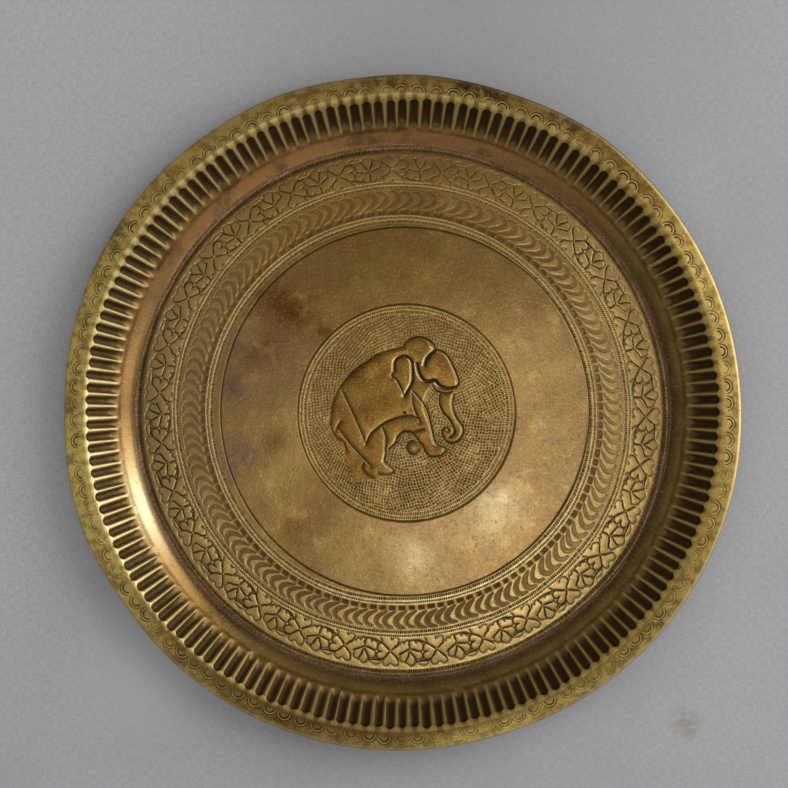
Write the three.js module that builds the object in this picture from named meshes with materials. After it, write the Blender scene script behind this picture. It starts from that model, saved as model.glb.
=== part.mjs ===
// A hand-raised brass plate: one sheet of brass with a flat floor, a fluted wall and a
// drooping lip, whose edge is rolled under round an iron wire that stiffens it.
// Millimetres, +Z up. The origin is the centre of the underside that stands on the table.
import * as THREE from "three";

// The sheet and the round outline of the plate
const OUTER_DIAMETER = 300; // over the rolled edge
const PLATE_HEIGHT = 21; // from the table to the crest
const SHEET_THICKNESS = 0.9;
const LIP_WIDTH = 9.5; // in plan, from the middle of the crest to the edge
const WALL_WIDTH = 23; // in plan, from the flat floor to the middle of the crest
const COVE_RADIUS = 11; // of the hollow between floor and wall
const CREST_RADIUS = 2.5; // of the turn between wall and lip
const LIP_DROOP = 12; // degrees that the lip falls towards the edge

// The flutes pressed into the wall
const FLUTE_COUNT = 160;
const FLUTE_DEPTH = 1.5; // square to the wall
const RIDGE_WIDTH = 0.8; // flat left standing between two flutes
const FLUTE_FLOOR_WIDTH = 2.2; // flat at the bottom of a flute
const FLUTE_FOOT_LENGTH = 3; // run-out towards the cove
const FLUTE_HEAD_LENGTH = 1.5; // rounded end under the crest

// The two rings cut into the floor, which bound the medallion and the plain field
const MEDALLION_DIAMETER = 97.5;
const FIELD_DIAMETER = 165;
const RING_CUT_WIDTH = 0.9;
const RING_CUT_DEPTH = 0.35;

// The wired edge
const WIRE_DIAMETER = 1.6;
const WIRE_CLEARANCE = 0.3; // between the wire and the sheet rolled round it
const ROLL_TURN = 270; // degrees that the sheet is rolled round the wire
const WIRE_JOINT_GAP = 0.5; // between the butted ends of the wire
const WIRE_JOINT_ANGLE = 162; // degrees, where those ends meet

// How finely round forms are divided
const FINE_COLUMNS = FLUTE_COUNT; // round the cove and the crest, one for each flute
const PLAIN_COLUMNS = 80; // round the floor's cuts, the roll and the wire
const ARC_STEPS = 2; // along the cove and the crest
const ROLL_STEPS = 6; // round the wire
const WIRE_SIDES = 6;

const brass = new THREE.MeshStandardMaterial({ color: 0x9a7638, roughness: 0.42, metalness: 0.9 });
const iron = new THREE.MeshStandardMaterial({ color: 0x4a4440, roughness: 0.7, metalness: 0.8 });

const radians = THREE.MathUtils.degToRad;

// The section's centres and angles. In a section x is the distance from the axis and y the height.
const crestDistance = OUTER_DIAMETER / 2 - LIP_WIDTH; // of the ring where the wall turns over into the lip
const floorDistance = crestDistance - WALL_WIDTH; // of the edge of the flat floor
const wireRadius = WIRE_DIAMETER / 2;
const rollInside = wireRadius + WIRE_CLEARANCE;
const rollOutside = rollInside + SHEET_THICKNESS;
const droop = radians(LIP_DROOP);
const coveCentre = new THREE.Vector2(floorDistance, SHEET_THICKNESS + COVE_RADIUS);
const crestCentre = new THREE.Vector2(crestDistance, PLATE_HEIGHT - CREST_RADIUS);
const wallSlope = slopeBetween(coveCentre, COVE_RADIUS, crestCentre, CREST_RADIUS);
const rollCentre = rollCentreUnderLip();

// The slope of the straight wall that touches the cove from above and the crest from below.
function slopeBetween(low, lowRadius, high, highRadius) {
  const across = high.clone().sub(low);
  return across.angle() + Math.asin((lowRadius + highRadius) / across.length());
}

// The wire's centre, on the line that keeps the roll's outside flush with the lip's top face.
function rollCentreUnderLip() {
  const x = OUTER_DIAMETER / 2 - rollOutside;
  const lipDepth = CREST_RADIUS - rollOutside; // from the crest's centre, square to the lip
  const y = crestCentre.y + lipDepth / Math.cos(droop) - (x - crestCentre.x) * Math.tan(droop);
  return new THREE.Vector2(x, y);
}

// A point at a distance from a centre, in the direction that leans by an angle from straight up.
function leaning(centre, radius, angle) {
  return new THREE.Vector2(-Math.sin(angle), Math.cos(angle)).multiplyScalar(radius).add(centre);
}

// A ring of the surface: its section point, its columns' directions and how far each is pressed.
function plainRing(point, columns) {
  const angles = Array.from({ length: columns }, (_, i) => (i / columns) * 2 * Math.PI);
  return { point, angles, press: angles.map(() => 0) };
}

// A ring across the flutes: two columns at the bottom of each flute and two on the ridge after it.
function flutedRing(point) {
  const pitch = (2 * Math.PI) / FLUTE_COUNT;
  const halfBottom = FLUTE_FLOOR_WIDTH / 2 / point.x;
  const halfRidge = RIDGE_WIDTH / 2 / point.x;
  const ring = { point, angles: [], press: [] };
  for (let i = 0; i < FLUTE_COUNT; i++) {
    const flute = i * pitch;
    const ridge = flute + pitch / 2;
    ring.angles.push(flute - halfBottom, flute + halfBottom, ridge - halfRidge, ridge + halfRidge);
    ring.press.push(FLUTE_DEPTH, FLUTE_DEPTH, 0, 0);
  }
  return ring;
}

// The rings of an arc that leans from one angle to another, its ends included.
function arcRings(centre, radius, from, to, steps, columns) {
  return Array.from({ length: steps + 1 }, (_, i) =>
    plainRing(leaning(centre, radius, from + ((to - from) * i) / steps), columns),
  );
}

// The rings of one face of the sheet, from the floor's edge to the end of the lip.
// depth is how far that face lies under the top face.
function faceRings(depth) {
  const down = Math.PI;
  const cove = arcRings(coveCentre, COVE_RADIUS + depth, down, down + wallSlope, ARC_STEPS, FINE_COLUMNS);
  const crest = arcRings(crestCentre, CREST_RADIUS - depth, wallSlope, -droop, ARC_STEPS, FINE_COLUMNS);
  const foot = cove.at(-1).point;
  const head = crest[0].point;
  const upWall = head.clone().sub(foot).normalize();
  const flutes = [
    flutedRing(foot.clone().addScaledVector(upWall, FLUTE_FOOT_LENGTH)),
    flutedRing(head.clone().addScaledVector(upWall, -FLUTE_HEAD_LENGTH)),
  ];
  return [...cove, ...flutes, ...crest];
}

// The V cut of one ring in the floor, from its inner lip to its outer lip.
function ringCut(diameter) {
  const inner = new THREE.Vector2((diameter - RING_CUT_WIDTH) / 2, SHEET_THICKNESS);
  const bottom = new THREE.Vector2(diameter / 2, SHEET_THICKNESS - RING_CUT_DEPTH);
  const outer = new THREE.Vector2((diameter + RING_CUT_WIDTH) / 2, SHEET_THICKNESS);
  return [inner, bottom, outer].map((point) => plainRing(point, PLAIN_COLUMNS));
}

// The rings of the roll round the wire. The inside is drawn round its circle, clear of the wire.
function rollRings(radius) {
  return arcRings(rollCentre, radius, -droop, -droop - radians(ROLL_TURN), ROLL_STEPS, PLAIN_COLUMNS);
}

// A ring's corners in space. Flutes are pressed outwards and down, square to the wall.
function ringCorners({ point, angles, press }) {
  return angles.map((angle, i) => {
    const x = point.x + press[i] * Math.sin(wallSlope);
    const z = point.y - press[i] * Math.cos(wallSlope);
    return new THREE.Vector3(x * Math.cos(angle), x * Math.sin(angle), z);
  });
}

// Joins two rings, whatever their counts of columns, by stepping round both in order of angle.
function bridge(positions, a, b) {
  const cornersA = ringCorners(a);
  const cornersB = ringCorners(b);
  const cornerOf = (corners, i) => corners[i % corners.length];
  let i = 0;
  let j = 0;
  while (i < cornersA.length || j < cornersB.length) {
    const stepA = j === cornersB.length || (i < cornersA.length && middleAfter(a, i) <= middleAfter(b, j));
    const next = stepA ? cornerOf(cornersA, i + 1) : cornerOf(cornersB, j + 1);
    positions.push(...cornerOf(cornersA, i), ...cornerOf(cornersB, j), ...next);
    i += stepA ? 1 : 0;
    j += stepA ? 0 : 1;
  }
}

// The direction half way from one column of a ring to the next.
function middleAfter({ angles }, i) {
  const next = i + 1 < angles.length ? angles[i + 1] : angles[0] + 2 * Math.PI;
  return (angles[i] + next) / 2;
}

// Closes a ring with a fan from a point on the axis.
function closeAtAxis(positions, ring, facesUp) {
  const corners = ringCorners(ring);
  const middle = new THREE.Vector3(0, 0, ring.point.y);
  corners.forEach((corner, i) => {
    const next = corners[(i + 1) % corners.length];
    const fan = facesUp ? [middle, corner, next] : [middle, next, corner];
    fan.forEach((p) => positions.push(...p));
  });
}

// The sheet: out over the top face, round the roll and back under, closed at the axis.
function sheetGeometry() {
  const rollStep = radians(ROLL_TURN) / ROLL_STEPS;
  const rings = [
    ...ringCut(MEDALLION_DIAMETER),
    ...ringCut(FIELD_DIAMETER),
    ...faceRings(0),
    ...rollRings(rollOutside),
    ...rollRings(rollInside / Math.cos(rollStep / 2)).reverse(),
    ...faceRings(SHEET_THICKNESS).reverse(),
  ];
  const positions = [];
  closeAtAxis(positions, rings[0], true);
  rings.slice(1).forEach((ring, i) => bridge(positions, rings[i], ring));
  closeAtAxis(positions, rings.at(-1), false);
  const corners = new THREE.Float32BufferAttribute(positions, 3);
  return new THREE.BufferGeometry().setAttribute("position", corners);
}

// The wire's centre line: a full circle but for the gap between its butted ends.
class WireLine extends THREE.Curve {
  getPoint(t, target = new THREE.Vector3()) {
    const gap = WIRE_JOINT_GAP / rollCentre.x;
    const angle = radians(WIRE_JOINT_ANGLE) + gap / 2 + t * (2 * Math.PI - gap);
    return target.set(rollCentre.x * Math.cos(angle), rollCentre.x * Math.sin(angle), rollCentre.y);
  }
}

function wireGeometry() {
  const corners = Array.from({ length: WIRE_SIDES }, (_, i) => {
    const angle = (i / WIRE_SIDES) * 2 * Math.PI;
    return new THREE.Vector2(wireRadius * Math.cos(angle), wireRadius * Math.sin(angle));
  });
  return new THREE.ExtrudeGeometry(new THREE.Shape(corners), {
    steps: PLAIN_COLUMNS,
    bevelEnabled: false,
    extrudePath: new WireLine(),
  });
}

function piece(name, geometry, material) {
  const mesh = new THREE.Mesh(geometry, material);
  mesh.name = name;
  return mesh;
}

const plate = new THREE.Group();
plate.name = "brass_plate";
plate.add(piece("fluted_dish", sheetGeometry(), brass), piece("rim_wire", wireGeometry(), iron));

export default plate;
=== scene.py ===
# %% [markdown]
# # A chased brass plate
# The plate is one round of thin brass, raised into a shallow dish. Its wall is fluted, its lip is
# punched with crescents, its floor is chased with borders round an elephant, and its edge is rolled
# under round an iron wire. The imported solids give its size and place. This lesson puts a finer sheet
# with all its tool marks in the place of the plain solid.

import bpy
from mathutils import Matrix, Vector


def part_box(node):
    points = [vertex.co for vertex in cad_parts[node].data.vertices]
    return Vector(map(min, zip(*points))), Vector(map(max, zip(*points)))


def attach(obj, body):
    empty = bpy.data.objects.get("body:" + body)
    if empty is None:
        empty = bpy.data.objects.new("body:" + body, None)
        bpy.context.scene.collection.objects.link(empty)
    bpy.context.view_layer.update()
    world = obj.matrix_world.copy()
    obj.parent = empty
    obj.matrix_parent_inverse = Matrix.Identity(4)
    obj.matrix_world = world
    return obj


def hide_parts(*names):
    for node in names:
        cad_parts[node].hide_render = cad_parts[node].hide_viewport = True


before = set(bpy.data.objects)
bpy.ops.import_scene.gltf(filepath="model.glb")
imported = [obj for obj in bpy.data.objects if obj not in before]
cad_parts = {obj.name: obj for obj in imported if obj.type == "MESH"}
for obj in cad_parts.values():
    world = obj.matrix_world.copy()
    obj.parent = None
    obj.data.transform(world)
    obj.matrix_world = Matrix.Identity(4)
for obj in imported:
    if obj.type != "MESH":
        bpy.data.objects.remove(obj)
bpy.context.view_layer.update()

# %% Libraries, units and the sheet's sizes
import math

import bpy
import numpy as np

MM = 0.001  # sizes below are in millimetres, and the scene is in metres
SHEET = 0.9
FLOOR_RADIUS = 117.5
COVE_RADIUS = 11.0
CREST_AXIS = 140.5  # distance of the crest's centre line from the plate's axis
CREST_RADIUS = 2.5
LIP_DROOP = math.radians(12)
ROLL_ROOM = 1.1  # inside radius of the rolled edge, wire and clearance together
ROLL_TURN = math.radians(270)
FLUTES = 160

low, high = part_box("fluted_dish")
OUTER_RADIUS = high.x / MM
CREST_TOP = high.z / MM
print(f"outer radius {OUTER_RADIUS:.2f} mm, from {low.z / MM:.2f} to {CREST_TOP:.2f} mm above the table")

# %% [markdown]
# ## The section of the sheet
# Cut through its middle, the plate is a bent strip: flat floor, hollow cove, straight wall, rounded
# crest, drooping lip and a roll. A revolve of that strip would do for a plain dish. Here every mark
# is real shape, so the strip is laid out as rings, each with as many points as its marks need.

# %% Where the wall's slope comes from
cove_centre = np.array([FLOOR_RADIUS, SHEET + COVE_RADIUS])
crest_centre = np.array([CREST_AXIS, CREST_TOP - CREST_RADIUS])
roll_radius = ROLL_ROOM + SHEET


def wall_slope():
    """The slope of the line that touches the cove from above and the crest from below."""
    across, up = crest_centre - cove_centre
    reach = math.hypot(across, up)
    return math.atan2(up, across) + math.asin((COVE_RADIUS + CREST_RADIUS) / reach)


def roll_middle():
    """The wire's centre in the section, with the roll flush with the lip's top face."""
    across = OUTER_RADIUS - roll_radius
    under = (CREST_RADIUS - roll_radius) / math.cos(LIP_DROOP)
    fall = (across - crest_centre[0]) * math.tan(LIP_DROOP)
    return np.array([across, crest_centre[1] + under - fall])


SLOPE = wall_slope()
roll_centre = roll_middle()
print(f"wall slope {math.degrees(SLOPE):.1f} degrees, wire centre at {roll_centre.round(2)} mm")

# %% Rings of the sheet
TOP, ROLL, UNDER = 0, 1, 2
FINE = 0.34  # distance between points where the chasing is
rings = []  # (radius, height, lean of the face from level, columns, side of the sheet)


def lay(radii, heights, leans, columns, side):
    """Adds rings from the first to the last. With no columns given, a ring has them FINE apart."""
    for r, z, lean in zip(*np.broadcast_arrays(radii, heights, leans)):
        wide = columns or max(6, round(2 * math.pi * r / FINE))
        rings.append((float(r), float(z), float(lean), wide, side))


def lay_floor(inner, outer, step, columns=None):
    count = max(1, round((outer - inner) / step))
    lay(np.linspace(inner, outer, count, endpoint=False), SHEET, 0.0, columns, TOP)


def lay_arc(centre, radius, start, end, count, columns, side):
    leans = np.linspace(start, end, count)
    faces_up = leans - math.pi if start > 2 else leans  # a hollow is seen from its centre's side
    lay(centre[0] - radius * np.sin(leans), centre[1] + radius * np.cos(leans), faces_up, columns, side)


def lay_line(first, last, lean, count, columns, side):
    """Rings along a straight part of the section, without its two ends."""
    share = np.linspace(0, 1, count + 2)[1:-1, None]
    points = first + (last - first) * share
    lay(points[:, 0], points[:, 1], lean, columns, side)


def leaning(centre, radius, lean):
    """The point at a distance from a centre, in the direction that leans from straight up."""
    return centre + radius * np.array([-math.sin(lean), math.cos(lean)])


print("points", FINE, "mm apart where the chasing is")

# %% [markdown]
# ## Where the borders lie
# The maker drew circles first and worked from the middle out. The radii below were measured on the
# photograph against the plate's diameter. The medallion and the border are a little off the plate's
# axis, as hand-drawn circles are.

# %% Radii of the borders
MEDALLION_CENTRE = np.array([1.9, -0.4])
FIELD_CENTRE = np.array([1.2, 0.2])
HATCH_RADIUS = 44.5
MEDALLION_RADIUS = 48.65
FIELD_RADIUS = 82.5
BLOCK_RADIUS = 89.2
CHEVRON_RADIUS = 95.3  # through the points of the chevrons
FLOWER_RADIUS = 108.7  # through the crosses between the flowers
TICK_ROWS = {  # radius of each row of ticks: its height and the strength of its marks
    45.4: (1.2, 0.9),
    47.1: (0.9, 0.9),
    84.9: (1.3, 1.0),
    86.8: (0.8, 0.9),
    100.3: (1.3, 1.0),
    102.0: (0.9, 0.9),
    117.1: (1.5, 1.0),
    119.0: (0.7, 0.6),
}
TICK_PITCH = 0.98  # mm from one tick to the next
TICK_DEPTH = 0.2
TICK_COLUMNS = 4  # points along each tick's width
print("borders from", min(TICK_ROWS), "to", max(TICK_ROWS), "mm from the axis")

# %% Rings over the top face
DISH = FLUTES * 14  # columns round the wall
MATTED = 0.28  # distance between points in the medallion


def tick_columns(radius):
    return TICK_COLUMNS * round(2 * math.pi * radius / TICK_PITCH)


lay([0.0], SHEET, 0.0, 1, TOP)
for r in np.arange(MATTED, 42.7, MATTED):
    lay([r], SHEET, 0.0, max(6, round(2 * math.pi * r / MATTED)), TOP)
lay_floor(42.7, 51.4, 0.26, tick_columns(46))
lay_floor(51.4, 80.4, 1.4, 480)
lay_floor(80.4, 82.9, 0.22, 1200)
lay_floor(82.9, 88.2, 0.28, tick_columns(85.9))
lay_floor(88.2, 98.2, FINE, 1800)
lay_floor(98.2, 103.4, 0.28, tick_columns(101))
lay_floor(103.4, 115.2, 0.27, 2500)
lay_floor(115.2, FLOOR_RADIUS, 0.28, tick_columns(116.5))
COVE_TURN = math.radians(13)  # the first stretch of the cove still has ticks on it
lay_arc(cove_centre, COVE_RADIUS, math.pi, math.pi + COVE_TURN, 10, tick_columns(118), TOP)
lay_arc(cove_centre, COVE_RADIUS, math.pi + COVE_TURN * 1.3, math.pi + SLOPE, 10, 960, TOP)
wall_foot = leaning(cove_centre, COVE_RADIUS, math.pi + SLOPE)
wall_head = leaning(crest_centre, CREST_RADIUS, SLOPE)
lay_line(wall_foot, wall_head, SLOPE, 42, DISH, TOP)
lay_arc(crest_centre, CREST_RADIUS, SLOPE, -LIP_DROOP, 8, DISH, TOP)
lip_start = leaning(crest_centre, CREST_RADIUS, -LIP_DROOP)
lip_end = leaning(roll_centre, roll_radius, -LIP_DROOP)
lay_line(lip_start, lip_end, -LIP_DROOP, 25, 2700, TOP)
print(len(rings), "rings on the top face")

# %% Rings round the roll and back along the underside
ROUND = 640  # columns round the roll
lay_arc(roll_centre, roll_radius, -LIP_DROOP, -LIP_DROOP - ROLL_TURN, 20, ROUND, ROLL)
lay_arc(roll_centre, ROLL_ROOM, -LIP_DROOP - ROLL_TURN, -LIP_DROOP, 12, ROUND // 2, UNDER)
lay_arc(crest_centre, CREST_RADIUS - SHEET, -LIP_DROOP, SLOPE, 6, FLUTES * 6, UNDER)
under_head = leaning(crest_centre, CREST_RADIUS - SHEET, SLOPE)
under_foot = leaning(cove_centre, COVE_RADIUS + SHEET, math.pi + SLOPE)
lay_line(under_head, under_foot, SLOPE, 22, FLUTES * 8, UNDER)
lay_arc(cove_centre, COVE_RADIUS + SHEET, math.pi + SLOPE, math.pi, 10, ROUND, UNDER)
lay(np.linspace(FLOOR_RADIUS, 0, 24)[1:-1], 0.0, 0.0, 320, UNDER)
lay([0.0], 0.0, 0.0, 1, UNDER)
print(len(rings), "rings in all")

# %% The rings as arrays of points
ring_radius, ring_height, ring_lean = (np.array([ring[k] for ring in rings]) for k in range(3))
ring_columns, ring_side = (np.array([ring[k] for ring in rings]) for k in (3, 4))
first_point = np.concatenate([[0], np.cumsum(ring_columns)])
ring_of = np.repeat(np.arange(len(rings)), ring_columns)
steps = np.hypot(np.diff(ring_radius), np.diff(ring_height))
ring_way = np.concatenate([[0], np.cumsum(steps)])  # way along the section from the middle of the top
turn = 2 * np.pi * (np.arange(first_point[-1]) - first_point[ring_of]) / ring_columns[ring_of]
radius, height, lean = ring_radius[ring_of], ring_height[ring_of], ring_lean[ring_of]
side, way = ring_side[ring_of], ring_way[ring_of]
plan = np.stack([radius * np.cos(turn), radius * np.sin(turn)], 1)
print(len(plan), "points")

# %% [markdown]
# ## Marks pressed into the sheet
# A chasing tool pushes metal down without cutting it away, so a mark is a hollow with soft shoulders.
# Each kind of mark below is a formula for how deep the sheet is pressed at a point, and how much dirt
# has gathered there. Drawing them as textures would lose their shape, so they move the points.

# %% Depth and dirt
rng = np.random.default_rng(7)
cut = np.zeros(len(plan))  # depth in mm
dirt = np.zeros(len(plan))  # from 0, bare, to 1, filled
rubbed = np.zeros(len(plan))  # from 0 to 1, bright where metal stands up between the marks
glint_line = np.zeros(len(plan))  # from 0 to 1, a painted highlight beside rows of ticks, flower lines and in the crescents


def hollow(distance, half_width):
    """The section of a chased line: 1 in its middle, 0 from its edges out."""
    return np.clip(1 - (distance / half_width) ** 2, 0, 1)


def ease(value, start, end):
    """0 before start, 1 after end, and smooth between them."""
    t = np.clip((value - start) / (end - start), 0, 1)
    return t * t * (3 - 2 * t)


def press(which, depth, filled):
    """Presses points down. Where marks cross, the deepest one holds."""
    cut[which] = np.maximum(cut[which], depth)
    dirt[which] = np.maximum(dirt[which], filled)


def rub(which, bright, mask=rubbed):
    """Brightens points that hands and cloths reach, or those of another mask, such as a painted
    highlight.
    """
    mask[which] = np.maximum(mask[which], bright)


print("room for marks on", len(plan), "points")

# %% Points by their place on the floor
def floor_between(inner, outer):
    """The points of the top face between two radii, without the wall."""
    return np.flatnonzero((side == TOP) & (radius >= inner) & (radius <= outer) & (height < SHEET + 0.4))


def distance_to(points, middle):
    return np.hypot(*(points - middle).T)


def polar(which, centre):
    """Distance and direction of points from a circle's centre."""
    x, y = (plan[which] - centre).T
    return np.hypot(x, y), np.arctan2(y, x)


print(len(floor_between(0, FLOOR_RADIUS)), "points on the floor")

# %% [markdown]
# ## Wandering circles
# The rows of the border were struck by eye, so they swell and shrink by a millimetre or more on their
# way round. The numbers are read off the photograph every 15 degrees, anticlockwise from the right.

# %% How the borders wander
BORDER_WANDER = {  # radius of a row: mm that it lies outside its true circle
    85: (-0.5, -0.5, -0.6, -0.4, -0.1, 0.2, 0.5, 0.4, 0.3, 0.3, 0.4, 0.5,
         0.5, 0.3, 0.1, 0.1, 0.1, -0.4, -1.3, -1.0, -0.6, -0.3, 0.4, 0.1),
    100: (0.0, 0.0, 0.0, 0.0, 0.2, 0.4, 0.5, 0.6, 0.7, 0.6, 0.5, 0.4,
          0.3, 0.0, -0.3, -0.5, -0.8, -1.4, -1.7, -1.5, -0.5, 0.0, 0.9, 0.7),
    118: (0.3, -0.1, -0.4, -0.3, -0.2, 0.0, 0.1, 0.3, 0.6, 0.4, 0.1, 0.4,
          0.7, 0.2, -0.8, -0.6, -0.4, -0.7, -0.8, -0.9, -0.9, -0.2, 0.8, 0.6),
}
farthest = max(abs(shift) for row in BORDER_WANDER.values() for shift in row)
print("the rows wander by up to", farthest, "mm")

# %% Curves round the plate
def go_round(turn, values):
    """A smooth curve through values that are evenly spaced round the plate."""
    values = np.array(values)
    place = np.mod(turn / (2 * np.pi), 1) * len(values)
    i = place.astype(int)
    t = place - i
    a, b, c, d = (values[(i + k) % len(values)] for k in (-1, 0, 1, 2))
    return b + 0.5 * t * (c - a + t * (2 * a - 5 * b + 4 * c - d + t * (3 * (b - c) + d - a)))


def round_about(turn, places):
    """A sum of soft bumps round the plate, each with its direction, half width and height."""
    total = np.zeros_like(turn)
    for middle, wide, tall in places:
        apart = np.mod(np.degrees(turn) - middle + 180, 360) - 180
        total += tall * np.exp(-((apart / wide) ** 2))
    return total


def cells_round(turn, count):
    """Where points are among equal cells round the plate, and the number of each one's cell."""
    place = np.mod(turn / (2 * math.pi), 1) * count
    return place, np.minimum(place.astype(int), count - 1)


def crispness(turn, usual, places):
    """How fresh a border's marks still are, from 0 to 1."""
    return np.clip(usual + round_about(turn, places), 0.15, 1.0)


def border_polar(which):
    """Distance and direction of points, with the border's wandering taken out of the distance."""
    r, a = polar(which, (0.0, 0.0))
    inner, middle, outer = (go_round(a, values) for values in BORDER_WANDER.values())
    shift = inner + (middle - inner) * np.clip((r - 85) / 15, 0, 1)
    return r - shift - (outer - middle) * np.clip((r - 100) / 18, 0, 1), a


print("at the right the outer row is", go_round(np.zeros(1), BORDER_WANDER[118])[0], "mm too far out")

# %% Circles scribed with a compass
def circle(centre, at, half_width, depth, filled):
    which = floor_between(at - 4, at + 4)
    line = hollow(polar(which, centre)[0] - at, half_width)
    press(which, depth * line, filled * line**0.5)


circle(MEDALLION_CENTRE, MEDALLION_RADIUS, 0.4, 0.3, 0.6)
circle(FIELD_CENTRE, FIELD_RADIUS, 0.4, 0.3, 0.7)
print(f"two circles, the deepest {cut.max():.2f} mm")

# %% Rows of ticks from a toothed punch
def ticks(at, tall, force):
    which = floor_between(at - 3.2, at + 3.2)
    if at < MEDALLION_RADIUS:
        r, a = polar(which, MEDALLION_CENTRE)
        fresh, line = 0.8, 0.05
    else:
        r, a = border_polar(which)
        fresh = crispness(a, 0.8, [(290, 48, 0.2), (75, 24, -0.2)])
        line = crispness(a, 0.15, [(290, 48, 0.45)])
    count = round(2 * math.pi * at / TICK_PITCH)
    shift, strength = rng.uniform(-0.12, 0.12, count), rng.uniform(0.6, 1.0, count)
    place, number = cells_round(a, count)
    along = (place - number - 0.5 + shift[number]) * TICK_PITCH
    row = hollow(r - at - 0.08 * np.sin(31 * a + at), tall / 2) ** 0.4
    mark = (1 - ease(np.abs(along), 0.22, 0.42)) * row * strength[number] * force * fresh
    press(which, TICK_DEPTH * mark, mark)
    rub(which, 0.8 * (1 - mark) * ease(-np.abs(r - at), -tall / 2 - 0.5, -tall / 2) * fresh)
    # Painted highlight: fine bright lines beside the row, strongest at the lower right.
    beside = hollow(np.abs(r - at) - tall / 2 - 0.25, 0.3) * line
    rub(which, beside, glint_line)


for at, (tall, force) in TICK_ROWS.items():
    ticks(at, tall, force)
print(len(TICK_ROWS), "rows of ticks")

# %% [markdown]
# ## Drawn lines
# The borders and the elephant are drawn with a liner, a blunt chisel walked along a curve. A line here
# is a smooth curve through a few points, and its mark is a hollow that follows the nearest stretch.

# %% Curves and the distance to them
def smooth_curve(points, spans=6):
    """Points of a smooth curve through the given ones."""
    p = np.array(points, float)
    p = np.vstack([2 * p[0] - p[1], p, 2 * p[-1] - p[-2]])
    t = np.linspace(0, 1, spans, endpoint=False)[:, None]
    pieces = [
        0.5 * (2 * b + (c - a) * t + (2 * a - 5 * b + 4 * c - d) * t**2 + (3 * b - a - 3 * c + d) * t**3)
        for a, b, c, d in zip(p, p[1:], p[2:], p[3:])
    ]
    return np.vstack([*pieces, p[-2:-1]])


def nearest(points, curve):
    """The distance of each point from a curve, and how far along the curve that is."""
    best, along, gone = np.full(len(points), np.inf), np.zeros(len(points)), 0.0
    for a, b in zip(curve, curve[1:]):
        span = b - a
        length = math.hypot(*span)
        t = np.clip((points - a) @ span / max(length**2, 1e-9), 0, 1)
        off = np.hypot(*(points - a - t[:, None] * span).T)
        closer = off < best
        best[closer] = off[closer]
        along[closer] = gone + t[closer] * length
        gone += length
    return best, along, gone


bend = smooth_curve([(0, 0), (1, 1), (2, 0)])
print("a bend through three points becomes", len(bend), "points")

# %% [markdown]
# ## The chevron border
# A ribbed punch with a bent edge was struck side by side, so that dark chevrons and bright ridges take
# turns. Inside them runs a row of short blocks, one for each chevron.

# %% The form of a chevron
CHEVRONS = 124
CHEVRON_PITCH = 2 * math.pi * CHEVRON_RADIUS / CHEVRONS
BAND = smooth_curve(  # the middle of a dark chevron, from its outer end to its inner end
    [(-3.9, 2.9), (-1.4, 2.4), (-0.2, 1.2), (0.0, 0.0), (-0.5, -1.3), (-2.1, -2.8), (-4.8, -4.3)], 4
)
BAND_HALF = 0.9
CHEVRON_BAND = (86.0, 100.5)  # radii that chevrons and blocks lie between
CHEVRON_DEPTH, BLOCK_DEPTH = 0.24, 0.2
RIB = 0.62  # mm from one rib of the punch to the next
FRESH_CHEVRONS = [(285, 45, 0.65), (226, 20, 0.25), (46, 13, 0.3), (80, 20, -0.1)]
CROWDING = (126, 110, 117, 125, 123, 131, 124, 134)  # chevrons in a ring spaced as in each eighth
print(CHEVRONS, "chevrons, one every", round(CHEVRON_PITCH, 2), "mm")

# %% Which chevron each point belongs to
which = floor_between(*CHEVRON_BAND)
r, a = border_polar(which)
chevron_turn = rng.uniform(-0.4, 0.4, CHEVRONS)  # mm
chevron_out = rng.uniform(-0.3, 0.3, CHEVRONS)
chevron_wide = BAND_HALF * rng.uniform(0.8, 1.15, CHEVRONS)
clockwise = np.linspace(0, 2 * np.pi, 1440)
passed = np.cumsum(go_round(-clockwise - np.pi / 8, CROWDING))
passed = (passed - passed[0]) / (passed[-1] - passed[0]) * CHEVRONS  # chevrons met on the way round
place = np.interp(np.mod(-a, 2 * np.pi), clockwise, passed)
number = np.minimum(place.astype(int), CHEVRONS - 1)
fresh = crispness(a, 0.3, FRESH_CHEVRONS)
print(f"the marks are from {fresh.min():.2f} to {fresh.max():.2f} fresh")

# %% Chevrons struck side by side
band = np.zeros(len(which))
ribs = np.ones(len(which))
for ahead in (0, 1, 2):
    cell = np.mod(number + ahead, CHEVRONS)
    s = (place - number - ahead) * CHEVRON_PITCH + chevron_turn[cell]
    off, along, length = nearest(np.stack([s, r - CHEVRON_RADIUS + chevron_out[cell]], 1), BAND)
    half = chevron_wide[cell] * (0.75 + 0.25 * fresh) * (0.35 + 0.9 * np.sin(np.pi * along / length))
    struck = 1 - ease(off - half, -0.25, 0.3)
    rim = hollow(off - half, 0.4)  # the punch bites deepest along its edges
    comb = 0.4 + 0.35 * fresh + 0.2 * np.cos(2 * np.pi * along / RIB)
    comb *= fresh + (1 - fresh) * ease(along / length, 0.1, 0.5)
    ribs = np.where(struck > band, np.maximum(comb, 0.8 * rim), ribs)
    band = np.maximum(band, struck)
sunk = CHEVRON_DEPTH * band * ribs * fresh
press(which, sunk, (0.3 + 0.36 * fresh) * band * ribs)
inside_band = ease(r, CHEVRON_RADIUS - 5.2, CHEVRON_RADIUS - 4.4)
inside_band *= ease(-r, -CHEVRON_RADIUS - 3.6, -CHEVRON_RADIUS - 3.0)
rub(which, (0.1 + 0.7 * fresh) * (1 - band) * inside_band)
print(f"chevrons up to {sunk.max():.2f} mm deep")

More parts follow.
